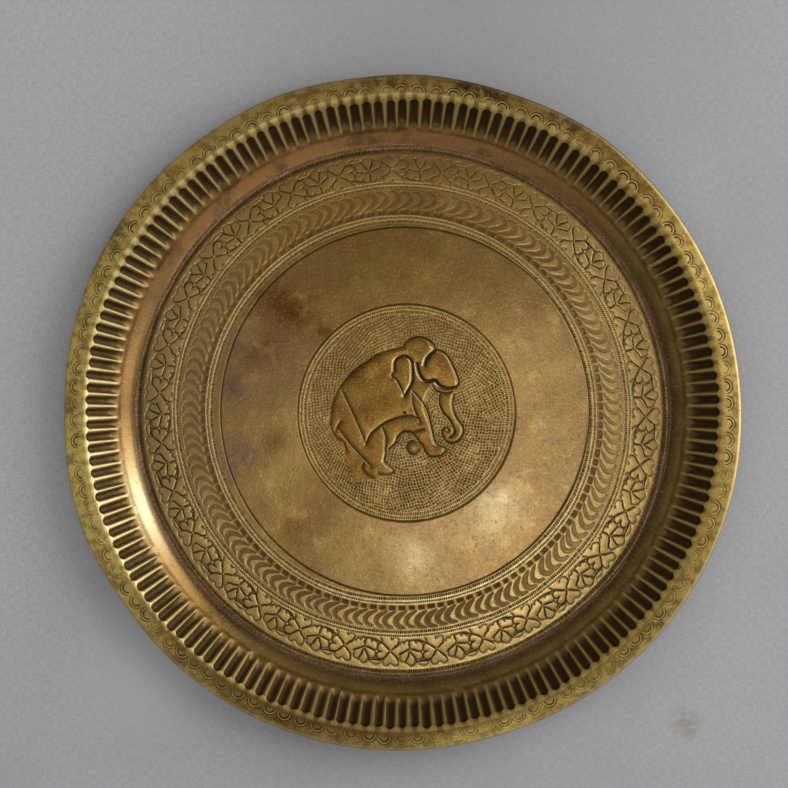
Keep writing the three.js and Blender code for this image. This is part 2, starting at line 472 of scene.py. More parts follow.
# %% Blocks inside the chevrons
block_half = rng.uniform(1.2, 1.75, CHEVRONS)
across = np.abs(np.mod(place + 0.12, 1) - 0.5) * CHEVRON_PITCH
block = 1 - ease(across - block_half[np.mod(number, CHEVRONS)], -0.3, 0.3)
block *= 1 - ease(np.abs(r - BLOCK_RADIUS) - 0.8, -0.25, 0.3)
block *= 0.8 + 0.2 * np.cos(2 * np.pi * place * CHEVRON_PITCH / RIB)
press(which, BLOCK_DEPTH * block, block * (0.32 + 0.5 * fresh))
print(f"blocks from {2 * block_half.min():.1f} to {2 * block_half.max():.1f} mm long")

# %% [markdown]
# ## The flower border
# A cross, the hearts in its corners and a spray of petals repeat round the plate. The lines are one
# repeat, drawn with the cross at the origin, along the border to the right and outwards up.

# %% Lines of one repeat
FLOWERS = 31
FLOWER_BAND = (101.0, 117.0)  # radii that they lie between
FLOWER_DEPTH = 0.17
FLOWER_LINES = [  # half width, points
    # the arms of the cross, which are the sides of four hearts
    (0.40, [(0.4, 0.35), (1.8, 1.8), (3.1, 3.2)]),
    (0.40, [(-0.4, 0.35), (-1.9, 1.7), (-3.4, 3.1), (-4.0, 4.3)]),
    (0.40, [(0.5, -0.5), (2.1, -1.9), (4.1, -3.4)]),
    (0.40, [(-0.5, -0.6), (-1.9, -1.9), (-3.4, -2.9), (-3.9, -4.6)]),
    # the lobes of the right heart, its notch, and the notch of the inner one
    (0.30, [(3.1, 3.2), (4.9, 3.6), (6.4, 2.9), (6.8, 1.6), (6.0, 0.6), (4.6, 0.2)]),
    (0.30, [(4.6, 0.1), (6.2, -0.4), (6.6, -1.7), (5.9, -2.9), (4.1, -3.4)]),
    (0.34, [(4.3, 0.15), (5.7, 0.15)]),
    (0.26, [(0.0, -4.9), (0.1, -5.9)]),
    (0.22, [(3.1, 3.2), (3.5, 4.5), (3.0, 5.7), (1.7, 6.1), (0.2, 5.2)]),
    (0.22, [(-4.0, 4.3), (-3.5, 5.6), (-2.0, 6.1), (-0.4, 5.2)]),
    (0.22, [(-3.9, -4.6), (-3.0, -5.7), (-1.6, -5.9), (-0.2, -5.0)]),
    # the leaves over and under that heart
    (0.36, [(3.1, 3.4), (4.5, 4.1), (6.7, 3.9), (9.4, 4.3)]),
    (0.20, [(4.4, 4.9), (6.6, 5.9), (9.0, 5.4)]),
    (0.38, [(4.1, -3.4), (6.4, -4.1), (8.3, -4.8), (10.0, -5.0)]),
    (0.26, [(4.1, -3.4), (4.8, -4.9), (5.6, -6.2)]),
    # the spray: its stem, the lines between its petals, and their round ends
    (0.40, [(12.75, -1.9), (12.85, -3.4), (12.9, -4.9)]),
    (0.40, [(12.5, -1.2), (10.5, -0.8), (7.8, -0.1)]),
    (0.42, [(12.4, -0.1), (11.2, 1.6), (10.2, 3.2), (9.6, 4.3)]),
    (0.42, [(12.9, 0.1), (13.8, 2.1), (14.6, 4.0)]),
    (0.40, [(13.2, -1.2), (14.9, -0.2), (17.2, 0.9), (18.3, 1.6)]),
    (0.25, [(7.8, -0.1), (7.1, 1.2), (7.3, 2.6), (8.6, 3.5), (9.9, 3.3)]),
    (0.24, [(10.4, 3.6), (10.9, 5.2), (12.1, 5.9), (13.5, 5.6), (14.4, 4.5)]),
    (0.25, [(14.6, 4.0), (15.8, 4.3), (17.0, 3.7), (17.5, 2.5), (17.2, 1.2)]),
    # the lobes beside the stem
    (0.26, [(7.8, -0.1), (6.7, -0.8), (6.2, -2.2), (6.6, -3.3), (8.1, -4.3), (9.3, -4.2), (9.6, -3.7)]),
    (0.26, [(9.6, -3.7), (10.0, -4.6), (11.1, -5.1), (12.4, -4.7)]),
    (0.24, [(13.3, -4.7), (14.3, -5.0), (15.1, -4.3), (15.4, -3.9), (16.0, -4.4), (16.9, -4.1),
            (17.9, -3.0)]),
]
FLOWER_GROUND = [  # gaps between petals, sunk with a point: x, y and radius
    (7.0, 3.2, 0.6), (10.0, 4.5, 0.6), (14.7, 4.7, 0.55), (12.9, -4.8, 0.5), (3.3, 4.0, 0.4),
]
FLOWER_BEADS = [(0.0, 0.0, 0.5), (12.75, -1.35, 0.5)]  # raised in the cross and in the spray
FRESH_FLOWERS = [(80, 26, -0.3), (285, 50, 0.25), (215, 28, 0.15), (40, 12, 0.25)]
print(len(FLOWER_LINES), "lines in one repeat")

# %% The repeats round the plate
FLOWER_PITCH = 22.0  # the length that the lines above are drawn for
FLOWER_BEFORE = 4.1  # how far a repeat starts before its cross
FIRST_CROSS = 358.9  # degrees
DRIFT = 1.3  # degrees, because the maker did not divide the circle quite evenly
crosses = np.arange(FLOWERS + 1)
uneven_step = DRIFT * (1 - np.cos(2 * np.pi * (crosses + 0.5) / FLOWERS)) - 0.2
wobble = rng.uniform(-0.45, 0.45, FLOWERS)
cross_turn = crosses * 360 / FLOWERS - uneven_step + np.append(wobble, wobble[0])
which = floor_between(*FLOWER_BAND)
r, a = border_polar(which)
clockwise = np.mod(FIRST_CROSS - np.degrees(a), 360)
clockwise = np.where(clockwise < cross_turn[0], clockwise + 360, clockwise)
clockwise = np.where(clockwise >= cross_turn[-1], clockwise - 360, clockwise)
way_round = np.interp(clockwise, cross_turn, crosses) * FLOWER_PITCH
number = np.floor((way_round + FLOWER_BEFORE) / FLOWER_PITCH).astype(int)
s = way_round - number * FLOWER_PITCH
number = np.mod(number, FLOWERS)
wander = rng.uniform(-0.25, 0.25, (FLOWERS, 2))
local = np.stack([s, r - FLOWER_RADIUS], 1) + wander[number]
local += 0.12 * np.stack([np.sin(1.7 * r + 3 * a), np.sin(40 * a + r)], 1)
fresh = crispness(a, 0.72, FRESH_FLOWERS) * rng.uniform(0.85, 1.0, FLOWERS)[number]
fresh *= ease(r - FLOWER_RADIUS, -6.3, -5.8) * ease(FLOWER_RADIUS - r, -7.5, -7.0)
print(FLOWERS, "flowers, one every", round(2 * math.pi * FLOWER_RADIUS / FLOWERS, 2), "mm")

# %% Lines of the flowers, and the side of each that faces the window
WINDOW_WAY = math.radians(20)  # the direction that daylight comes from
petal = np.full(len(which), np.inf)  # distance from the nearest line
to_window = np.stack([np.sin(a - WINDOW_WAY), np.cos(a - WINDOW_WAY)], 1)
# Painted highlight beside each line on the side that faces the window, strongest at the upper and lower
# right.
glint = 0.12 + round_about(a, [(45, 30, 0.3), (300, 45, 0.2)])
for half_width, points in FLOWER_LINES:
    curve = smooth_curve(points, 4)
    off, along, length = nearest(local, curve)
    ends = 0.6 + 0.4 * np.sin(np.pi * np.clip(along / length, 0.1, 0.9))
    line = hollow(off, half_width * ends)
    grime = ease(line, 0, 0.45) * (0.2 + 0.8 * fresh) * (fresh > 0) * min(1, half_width / 0.34)
    press(which, FLOWER_DEPTH * line * fresh, grime)
    petal = np.minimum(petal, np.maximum(off - 0.2, 0))
    lit = hollow(nearest(local + (half_width + 0.25) * to_window, curve)[0], 0.35)
    rub(which, glint * fresh * lit, glint_line)
print(len(FLOWER_LINES), "lines in each of", FLOWERS, "flowers")

# %% Gaps, petals and beads
for x, y, wide in FLOWER_GROUND:
    sunk = hollow(distance_to(local, (x, y)), wide) ** 0.7
    press(which, 0.2 * sunk * fresh, 0.7 * sunk * fresh)
cut[which] += 0.06 * np.exp(-petal / 0.7) * fresh
rub(which, (0.9 * fresh - 0.1) * ease(petal, 0.1, 0.5))
for x, y, wide in FLOWER_BEADS:
    bead = hollow(distance_to(local, (x, y)), wide)
    cut[which] -= 0.45 * bead
    dirt[which] *= 1 - 0.95 * ease(bead, 0.05, 0.4)
print(len(FLOWER_GROUND), "gaps and", len(FLOWER_BEADS), "beads in each repeat")

# %% [markdown]
# ## The medallion
# The elephant is drawn in outline and left smooth. The ground round it is struck all over with a
# matting punch of crossed lines, a patch at a time, so the patches meet at slightly different angles.

# %% The elephant's lines, in millimetres from the medallion's centre
ELEPHANT_LINES = [  # half width, depth, points
    (0.41, 0.30, [(-1.3, 29.8), (-11.8, 26.8), (-17.8, 23.0), (-22.4, 20.0), (-26.9, 15.5),
                  (-29.9, 11.8)]),
    (0.26, 0.18, [(-29.9, 11.8), (-32.9, 5.8), (-34.0, -0.3), (-34.8, -5.5)]),
    (0.48, 0.36, [(-1.3, 29.8), (0.2, 32.1), (3.2, 33.9), (6.2, 34.2), (10.0, 32.8), (12.2, 30.9),
                  (12.9, 29.0)]),
    (0.48, 0.36, [(13.1, 28.7), (15.4, 28.2), (18.2, 26.1), (21.2, 20.8), (23.1, 16.3),
                  (23.6, 13.3), (22.4, 11.6)]),
    (0.95, 0.45, [(13.0, 28.2), (10.9, 26.3), (9.3, 24.2), (8.5, 21.4)]),
    (0.90, 0.45, [(4.9, 22.3), (5.5, 19.3), (6.6, 16.3), (8.5, 14.4), (11.1, 14.4), (13.0, 14.6),
                  (14.9, 12.5), (18.2, 11.2), (22.4, 11.6)]),
    (0.44, 0.30, [(11.8, 12.3), (13.3, 10.2), (17.0, 9.0), (20.9, 9.6)]),
    (0.70, 0.40, [(-5.4, 18.9), (-5.1, 23.0), (-3.2, 25.2), (0.2, 25.3), (2.5, 23.0), (2.9, 17.8),
                  (2.5, 13.3), (-0.9, 7.3)]),
    (0.41, 0.34, [(-0.9, 7.3), (-2.8, 11.8), (-5.1, 15.5), (-6.6, 16.3), (-5.4, 18.9)]),
    (0.48, 0.38, [(15.2, 8.6), (14.9, 4.3), (16.4, 0.5), (19.0, -2.5), (21.2, -6.3), (21.6, -9.3),
                  (19.7, -10.8)]),
    (0.44, 0.34, [(21.6, 8.4), (20.9, 2.8), (22.7, -2.5), (25.4, -6.3), (25.4, -10.0),
                  (22.7, -13.0), (19.0, -13.4), (16.4, -10.8), (16.1, -8.1), (18.0, -6.6),
                  (19.2, -8.0)]),
    (0.44, 0.36, [(2.8, 9.9), (7.0, 5.0), (9.6, 0.5), (11.1, -5.5), (12.6, -12.3), (14.1, -14.5)]),
    (0.33, 0.28, [(14.1, -14.5), (17.1, -15.7), (17.5, -17.5), (15.2, -19.4), (10.7, -19.8),
                  (8.8, -18.3)]),
    (0.44, 0.36, [(8.8, -18.3), (7.0, -14.5), (4.0, -10.8), (2.5, -8.9), (-1.3, -8.5),
                  (-3.9, -10.8), (-5.1, -13.8), (-8.1, -16.4)]),
    (0.37, 0.30, [(2.7, 8.6), (3.2, 2.8), (6.2, -4.4)]),
    (0.30, 0.22, [(3.2, -8.7), (7.7, -7.4)]),
    (0.44, 0.36, [(5.5, -2.5), (1.7, -1.4), (-2.8, -1.8), (-8.8, -4.0), (-13.3, -7.0),
                  (-16.3, -10.0), (-18.2, -14.5)]),
    (0.33, 0.30, [(-29.1, 9.9), (-24.6, 0.5), (-20.9, -7.8), (-18.2, -14.5)]),
    (0.33, 0.28, [(-31.8, -7.8), (-29.7, -4.0)]),
    (0.33, 0.28, [(-31.0, -7.0), (-26.9, -12.3), (-23.1, -16.8), (-16.0, -24.3)]),
    (0.41, 0.32, [(-10.7, -7.0), (-9.2, -11.5), (-9.4, -16.8), (-10.0, -22.1)]),
    (0.26, 0.20, [(-10.0, -22.1), (-6.6, -25.1), (-5.8, -26.6), (-8.8, -28.1), (-12.6, -27.3)]),
    (0.26, 0.22, [(-19.3, -22.8), (-19.7, -26.2), (-14.8, -29.6)]),
    (0.26, 0.20, [(-34.4, -6.3), (-32.1, -10.8), (-28.7, -13.0), (-27.2, -17.5)]),
]
ELEPHANT_EDGE = [  # once round the outline, legs and trunk too
    (-34.8, -5.5), (-34.0, -0.3), (-32.9, 5.8), (-29.9, 11.8), (-26.9, 15.5), (-22.4, 20.0),
    (-17.8, 23.0), (-11.8, 26.8), (-1.3, 29.8), (3.2, 33.9), (6.2, 34.2), (10.0, 32.8),
    (13.1, 28.7), (18.2, 26.1), (21.2, 20.8), (23.6, 13.3), (21.6, 8.4), (20.9, 2.8), (22.7, -2.5),
    (25.4, -6.3), (25.4, -10.0), (22.7, -13.0), (19.0, -13.4), (16.4, -10.8), (16.1, -8.1),
    (18.0, -6.6), (21.2, -6.3), (19.0, -2.5), (16.4, 0.5), (14.9, 4.3), (15.2, 8.6), (11.8, 12.0),
    (8.0, 4.0), (11.1, -5.5), (12.6, -12.3), (14.1, -14.5), (17.1, -15.7), (17.5, -17.5),
    (15.2, -19.4), (10.7, -19.8), (8.8, -18.3), (7.0, -14.5), (4.0, -10.8), (2.5, -8.9),
    (-1.3, -8.5), (-3.9, -10.8), (-5.1, -13.8), (-8.1, -16.4), (-10.0, -22.1), (-6.6, -25.1),
    (-5.8, -26.6), (-8.8, -28.1), (-14.8, -29.6), (-21.5, -31.0), (-25.5, -26.0), (-27.5, -19.0),
    (-31.0, -13.0),
]
PEBBLE = (3.2, -15.7, 3.0)  # the small round between the legs: its centre and radius
NAVEL = (-0.9, 0.0, 0.7)  # a single dot on the belly: its centre and radius
print(len(ELEPHANT_LINES), "lines, and", len(ELEPHANT_EDGE), "points round the outline")

# %% Inside or outside of an outline
def inside(points, outline):
    """True for points inside a closed outline, by counting the edges to their right."""
    x, y = points.T
    odd = np.zeros(len(points), bool)
    corners = np.array(outline, float)
    for (ax, ay), (bx, by) in zip(corners, np.roll(corners, -1, axis=0)):
        if ay == by:
            continue
        crosses = ((ay > y) != (by > y)) & (x < ax + (y - ay) * (bx - ax) / (by - ay))
        odd ^= crosses
    return odd


print("the navel is inside the outline:", bool(inside(np.array([NAVEL[:2]]), ELEPHANT_EDGE)[0]))

# %% Where the elephant is
DRAWN = 0.99  # the drawing's size against the numbers above
which = floor_between(0, 51)
local = (plan[which] - MEDALLION_CENTRE) / DRAWN
r, a = polar(which, MEDALLION_CENTRE)
outline = smooth_curve(ELEPHANT_EDGE + ELEPHANT_EDGE[:1], 3)
edge_off = nearest(local, outline)[0]
pebble_off = distance_to(local, PEBBLE[:2]) - PEBBLE[2]
bare = np.minimum(np.where(inside(local, outline), -edge_off, edge_off), pebble_off)
print(f"{np.mean(bare < 0):.0%} of the medallion's points are on the elephant")

# %% Patches of the matting round it
MATTING_PITCH = 1.38  # mm between the lines of the punch
PIT_DEPTH = 0.22
PATCHES = 15  # round the medallion, each with its own angle
ripple = 0.12 * np.sin(r * 0.31 + 2.0) + 0.06 * np.sin(r * 0.9 + a * 3)
patch = cells_round(a + ripple, PATCHES)[1]
tilt = rng.uniform(-0.16, 0.16, PATCHES)[patch] + (patch + 0.5) / PATCHES * 2 * math.pi + 0.0035 * r
across = (local[:, 0] * np.cos(tilt) + local[:, 1] * np.sin(tilt)) / MATTING_PITCH
along = (local[:, 1] * np.cos(tilt) - local[:, 0] * np.sin(tilt)) / MATTING_PITCH
across += rng.uniform(0, 1, PATCHES)[patch] + 0.1 * np.sin(along * 1.2)
along += rng.uniform(0, 1, PATCHES)[patch] + 0.1 * np.sin(across * 1.9)
print("matting in", PATCHES, "patches, lines", MATTING_PITCH, "mm apart")

# %% Pits of the matting
def pits(rows):
    """1 in the hollows between the lines of a row, 0 on the lines."""
    return 1 - ease(np.abs(np.mod(rows, 1) - 0.5) * 2, 0.45, 0.85)


pit = pits(across) * pits(along)
hardness = 0.75 + 0.25 * np.sin(local[:, 0] * 0.23 + 1) * np.sin(local[:, 1] * 0.19 + 2)
blow = rng.uniform(0.35, 1.0, (PATCHES, 97))  # no two blows of the punch are as hard
hardness *= blow[patch, np.mod(np.floor(across) * 7 + np.floor(along), 97).astype(int)]
matted = ease(bare, 0.1, 0.6) * ease(-r, -HATCH_RADIUS, -HATCH_RADIUS + 0.5)
fresh = 0.5 + 0.5 * ease(local[:, 0] - local[:, 1], -25, 30)
sunk = PIT_DEPTH * pit * matted * hardness
press(which, sunk, 0.75 * fresh * ease(pit, 0.1, 0.85) * matted * hardness)
rub(which, 0.55 * fresh * (1 - ease(pit, 0.0, 0.4)) * matted)
print(f"pits up to {sunk.max():.2f} mm deep")

# %% The elephant's lines and its raised body
BODY_RISE = 0.4  # mm
cut[which] -= BODY_RISE * ease(-bare, 0, 2.8)
# Painted highlight: the body's edge on the side towards the window.
right_rim = (bare < 0) & (pebble_off > 0) & ~inside(local + (1.4, 0.25), outline)
glint_edge, body = np.zeros((2, len(plan)))
glint_edge[which[right_rim]] = 0.3 * ease(-bare[right_rim], 0.3, 0.7)
body[which] = ease(-bare, 0, 0.8) * (pebble_off > 0)
pillow = np.full(len(which), np.inf)
for half_width, depth, points in ELEPHANT_LINES:
    curve = smooth_curve(points)
    off, progress, length = nearest(local, curve)
    taper = 0.6 + 0.4 * np.sin(np.pi * np.clip(progress / length, 0.12, 0.88))
    line = hollow(off, half_width * taper)
    press(which, depth * line, line**0.5 * min(1, 0.5 + 0.8 * half_width))
    pillow = np.minimum(pillow, off / half_width)
    # Painted highlight beside each line, on the side that faces the window.
    lit = hollow(nearest(local + (half_width + 0.45, -0.1), curve)[0], 0.45)  # faces the window
    glint = min(0.55, 1.1 * half_width - 0.26) * lit * body[which]
    rub(which, glint, glint_edge)
print("the medallion has", len(which), "points and", len(ELEPHANT_LINES), "drawn lines")

# %% The navel, the pebble and the soft swell between lines
off = distance_to(local, NAVEL[:2])
press(which, 0.3 * hollow(off, NAVEL[2]), hollow(off, NAVEL[2]) ** 0.5)
ring = hollow(np.abs(pebble_off), 0.5) * (0.4 + 0.6 * ease(PEBBLE[0] - local[:, 0], -1.5, 1.5))
press(which, 0.3 * ring, 0.7 * ring**0.5)
cut[which] += 0.2 * np.exp(-pillow / 2.2) * ease(-r, -HATCH_RADIUS, -HATCH_RADIUS + 2)
cut[which] -= 0.2 * hollow(np.maximum(pebble_off + PEBBLE[2], 0), PEBBLE[2] - 0.4)
print(f"the medallion is {cut[which].max():.2f} mm deep to {-cut[which].min():.2f} mm raised")

# %% [markdown]
# ## A hand-made shape
# Hammered sheet is never true. The floor is gently uneven, the rim swells in and out, and the edge is
# broken at one place on the left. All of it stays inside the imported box, so the rim only draws in.

# %% Waves of the floor
def waves(x, y, lengths, seed):
    """A smooth random surface, a sum of long waves in many directions."""
    draw = np.random.default_rng(seed)
    total = np.zeros_like(x)
    for length in lengths:
        direction, phase = draw.uniform(0, 2 * np.pi, 2)
        total += np.sin((x * np.cos(direction) + y * np.sin(direction)) * 2 * np.pi / length + phase)
    return total / len(lengths)


middle = np.zeros(1)
print("one wave at the plate's middle:", waves(middle, middle, (150,), 3)[0].round(2))

# %% Swells of the rim
RIM_IN = 0.6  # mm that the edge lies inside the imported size, before its swells
RIM_SWELLS = [  # degrees round from the right, half width in degrees, mm inwards
    (145, 16, -0.9), (197, 10, -0.7), (335, 22, -0.9), (54, 7, -0.55), (114, 8, -0.5),
    (74, 12, 1.0), (97, 8, 0.8), (180, 9, 0.5), (216, 7, 0.6), (287, 18, 0.75),
]
NICK_TURN = math.radians(161.4)  # where the edge is broken
NICK_HALF, NICK_IN, NICK_DOWN = 1.6, 1.3, 0.5  # its half width, and how far it is pushed
LIP_BEND = (140.6, 145.6)  # radii that the lip's own swells grow between


def rim_swell(turn):
    """How far the rim swells inwards in a direction, besides RIM_IN."""
    return np.maximum(round_about(turn, RIM_SWELLS), -RIM_IN)


def rim_droop(turn):
    """How far the rim hangs down in a direction."""
    return 0.3 * (1 - np.cos(3 * turn + 0.4)) / 2 + 0.25 * (1 - np.cos(8 * turn + 2.2)) / 2


print(f"the rim hangs down by up to {rim_droop(turn).max():.2f} mm")

# %% How far each point is moved
x, y = plan.T
uneven = 0.28 * waves(x, y, (150, 120, 95, 80, 66, 58), 3) + 0.05 * waves(x, y, (34, 29, 25, 21, 18), 4)
uneven = (uneven + 0.3) * ease(-radius, -FLOOR_RADIUS, -FLOOR_RADIUS + 12)
on_side = ease(radius, FLOOR_RADIUS, CREST_AXIS)
on_lip = ease(radius, *LIP_BEND)
draw_in = on_lip * RIM_IN + (0.4 * on_side + 0.6 * on_lip) * rim_swell(turn)
fall = on_side * rim_droop(turn)
nick = hollow((turn - NICK_TURN) * radius, NICK_HALF) * ease(radius, 146.8, 149.2)
print("the rim draws in by up to", round(float(draw_in.max()), 2), "mm")

# %% [markdown]
# ## Crescents on the lip
# One punch makes a thick arc with a thin one round it. The maker struck it by eye all round the lip.

# %% Where each crescent is struck
CRESCENTS = 118
CRESCENT_CENTRE = np.array([-0.15, -0.5])
CRESCENT_RADIUS = 142.35  # through the middles of the arcs
CRESCENT_WANDER = (0.6, 0.0, -0.2, -0.5, -0.8, -0.9, -0.9, -0.8, -0.5, 0.1, 0.3, 0.7,
                   0.7, 0.7, 0.4, 0.2, -0.5, -0.4, 0.0, -0.7, -0.4, 0.3, 0.4, 0.7)
THIN_ARC, THICK_ARC, BRIGHT_ARC = 3.2, 2.1, 2.7  # radii, the bright one between the other two
THIN_DEPTH, THICK_DEPTH = 0.2, 0.28
which = np.flatnonzero((side == TOP) & (radius > 141.2))
drawn_plan = plan[which] * (1 - draw_in[which] / radius[which])[:, None] - CRESCENT_CENTRE
place, number = cells_round(np.arctan2(*drawn_plan.T[::-1]), CRESCENTS)
print(len(which), "points on the lip")

# %% Arcs of each crescent
crescent_slip = rng.uniform(-0.14, 0.14, CRESCENTS)
crescent_out = rng.uniform(-0.3, 0.3, CRESCENTS)
crescent_tip = rng.uniform(-0.25, 0.25, CRESCENTS)
crescent_force = rng.uniform(0.35, 1.0, CRESCENTS)
x = (place - number - 0.5 + crescent_slip[number]) * 2 * math.pi * CRESCENT_RADIUS / CRESCENTS
y = np.hypot(*drawn_plan.T) - CRESCENT_RADIUS - crescent_out[number]
y -= go_round(turn[which], CRESCENT_WANDER)
off = np.hypot(x, y)
legs = ease(y + x * crescent_tip[number], -0.3, 0.4) * crescent_force[number]
thin = hollow(off - THIN_ARC, 0.4) * legs
thick = hollow(off - THICK_ARC, 0.5) * legs
press(which, THIN_DEPTH * thin, 0.75 * thin**0.6)
press(which, THICK_DEPTH * thick, 0.75 * thick**0.6)
# Painted highlight on the arc between the two cut arcs and in the crescent's middle.
between_arcs = 0.5 * hollow(off - BRIGHT_ARC, 0.35)
glint_line[which] = np.maximum(0.12 * ease(-off, -1.9, -0.8), between_arcs) * legs
print(CRESCENTS, "crescents")

# %% [markdown]
# ## Flutes
# The wall was laid over a grooved stake and each flute driven in with a rounded punch, so the sheet is
# hollow on the inside and ribbed underneath. A flute is a long scoop: round under the crest, and
# dying away in the cove. No two are quite alike.

# %% How the flutes differ
FLUTE_DEPTH = 1.5  # square to the wall
FLUTE_HALF = 2.2  # half its width
FLUTE_HEAD = 2.2  # length of the rounded end
FLUTE_FOOT = 5.0  # length over which it dies away
HEAD_WANDER = (0.2, -0.4, -0.9, -0.9, -0.5, -0.6, -1.4, -1.3, -1.0, -1.0, -0.7, 0.8,
               0.4, 0.6, 1.0, 1.2, 0.8, 0.3, 0.3, 0.0, 0.2, 0.3, 0.4, 0.4)  # mm up the wall
wall_length = math.hypot(*(wall_head - wall_foot))
up_wall = (wall_head - wall_foot) / wall_length
climb = (np.stack([radius, height], 1) - wall_foot) @ up_wall  # way up the wall from its foot
flute_slip = rng.normal(0, 0.03, FLUTES)
flute_force = rng.uniform(0.85, 1.0, FLUTES)
flute_rise = rng.normal(0, 0.35, FLUTES)
flute_foot = rng.normal(0, 0.6, FLUTES)
flute_wide = rng.uniform(0.9, 1.04, FLUTES)
print(f"{FLUTES} flutes on a wall {wall_length:.1f} mm long")

# %% Depth of the flutes on both faces

def flute_form(turn, radius, climb):
    """The scoop without and with its dying foot, and the collar round it, each from 0 to 1."""
    place = np.mod(turn / (2 * math.pi) + 0.5 / FLUTES, 1) * FLUTES
    number = np.minimum(place.astype(int), FLUTES - 1)
    across = (place - number - 0.5 + flute_slip[number]) * 2 * math.pi * radius / FLUTES
    top = wall_length + 0.3 + flute_rise[number] + 1.2 * go_round(turn, HEAD_WANDER)
    head = np.clip((climb - top + FLUTE_HEAD) / FLUTE_HEAD, 0, None)
    reach = (across / (FLUTE_HALF * flute_wide[number])) ** 2 + head**2
    foot = ease(climb - flute_foot[number], 0.5, 0.5 + FLUTE_FOOT)
    scoop = np.clip(1 - reach, 0, 1) ** 0.8 * flute_force[number]
    return scoop, scoop * foot, hollow(reach - 1.3, 0.5)


on_wall = np.flatnonzero((side != ROLL) & (climb > -3) & (radius < CREST_AXIS + 1))
scoop, flute, collar = np.zeros((3, len(plan)))
forms = flute_form(turn[on_wall], radius[on_wall], climb[on_wall])
scoop[on_wall], flute[on_wall], collar[on_wall] = forms
print(f"flutes reach {FLUTE_DEPTH * flute.max():.2f} mm deep")

# %% Points of the finished sheet
depth = np.where(side == TOP, cut, 0.0) + FLUTE_DEPTH * flute
true_radius = radius + depth * np.sin(lean) - draw_in - NICK_IN * nick
true_height = height - depth * np.cos(lean) + uneven - fall - NICK_DOWN * nick
points = np.stack([true_radius * np.cos(turn), true_radius * np.sin(turn), true_height], 1) * MM
points[:, 2] = np.maximum(points[:, 2], 0.0)
print("lowest and highest:", points.min(0).round(5), points.max(0).round(5))

# %% [markdown]
# ## Joining the rings
# Neighbouring rings may have different numbers of points. Going round both in order of angle, each
# step adds one triangle, so any two rings join without a gap and the sheet closes on itself.

# %% Triangles
def bridge(a, b):
    """Triangles between ring a and ring b."""
    na, nb = ring_columns[a], ring_columns[b]
    middles = np.concatenate([(np.arange(na) + 0.5) / na, (np.arange(nb) + 0.5) / nb])
    step_a = np.argsort(middles, kind="stable") < na
    i = np.cumsum(step_a) - step_a
    j = np.cumsum(~step_a) - ~step_a
    third = np.where(step_a, first_point[a] + (i + 1) % na, first_point[b] + (j + 1) % nb)
    faces = np.stack([first_point[a] + i % na, first_point[b] + j % nb, third], 1)
    return faces[(faces[:, 1] != faces[:, 2]) & (faces[:, 0] != faces[:, 2])]


bridges = [bridge(k, k + 1) for k in range(len(rings) - 1)]
faces = np.vstack(bridges).astype(np.int32)
face_ring = np.repeat(np.arange(len(rings) - 1), [len(b) for b in bridges])
print(len(faces), "triangles")

# %% The mesh
def mesh_from(name, points, faces):
    mesh = bpy.data.meshes.new(name)
    mesh.vertices.add(len(points))
    mesh.vertices.foreach_set("co", points.astype(np.float32).ravel())
    mesh.loops.add(faces.size)
    mesh.loops.foreach_set("vertex_index", faces.ravel())
    mesh.polygons.add(len(faces))
    mesh.polygons.foreach_set("loop_start", np.arange(0, faces.size, 3, dtype=np.int32))
    mesh.polygons.foreach_set("use_smooth", np.ones(len(faces), bool))
    mesh.update(calc_edges=True)
    return mesh


def keep_mask(mesh, name, values):
    mesh.attributes.new(name, "FLOAT", "POINT").data.foreach_set("value", values.astype(np.float32))


sheet_mesh = mesh_from("fluted_sheet", points, faces)
print("repairs needed:", sheet_mesh.validate())

# %% [markdown]
# ## Where the plate is stained, rubbed, and painted with light and shade
# Hands, cloths and damp leave their marks by place, not by tool. The numbers below say how bright or
# dark each zone is in eight directions, anticlockwise from the right, and where single stains lie.
# Much of the brightness by direction is painted light and shade: brighter towards the window, darker
# away.

# %% Zones in eight directions
# Painted shade: the floor darker on the side away from the window, over its tarnish.
FLOOR_SHADE_AND_TARNISH = (0.32, 0.5, 0.58, 0.2, 0.3, 0.42, 0.36, 0.36)  # of the floor
# These paint light and shade: lip, crest, ridges, channels and cove brighter towards the window, darker
# away.
LIP_BRIGHT = (0.34, 0.05, 0.36, 0.75, 0.85, 0.3, 0.65, 0.45)
CREST_BRIGHT = (0.1, 0.4, 0.65, 0.4, 0.7, 0.0, 0.0, 0.0)
DARK_CREST = (0.15, 0.05, 0.0, 0.0, 0.0, 0.95, 0.7, 0.5)
RIDGE_BRIGHT = (0.5, 0.55, 0.75, 0.9, 1.0, 0.38, 0.4, 0.45)
# Painted shade in the channels away from the window, over their grime.
CHANNEL_DARK = (1.0, 0.95, 0.9, 0.75, 0.6, 1.0, 1.0, 1.0)
FOOT_GRIME_AND_SHADE = (0.35, 0.3, 0.3, 0.2, 0.0, 0.75, 0.9, 0.65)
DARK_COVE = (0.95, 0.45, 0.0, 0.0, 0.0, 0.85, 0.95, 1.0)
RED_COVE = (0.0, 0.5, 0.6, 0.25, 0.0, 0.0, 0.0, 0.0)
BORDER_BROWN = (0.25, 0.4, 0.0, 0.3, 0.6, 0.7, 0.05, 0.25)
# Painted highlight along the rolled edge.
RIM_LINE = (0.5, 0.1, 0.1, 0.0, 0.1, 0.3, 0.3, 0.8)


def by_sector(turn, values):
    """A smooth curve through one value for the middle of each eighth of the plate."""
    return np.clip(go_round(turn - math.pi / len(values), values), 0, 1)


print("tarnish of the floor at the right", by_sector(np.zeros(1), FLOOR_SHADE_AND_TARNISH)[0].round(2))
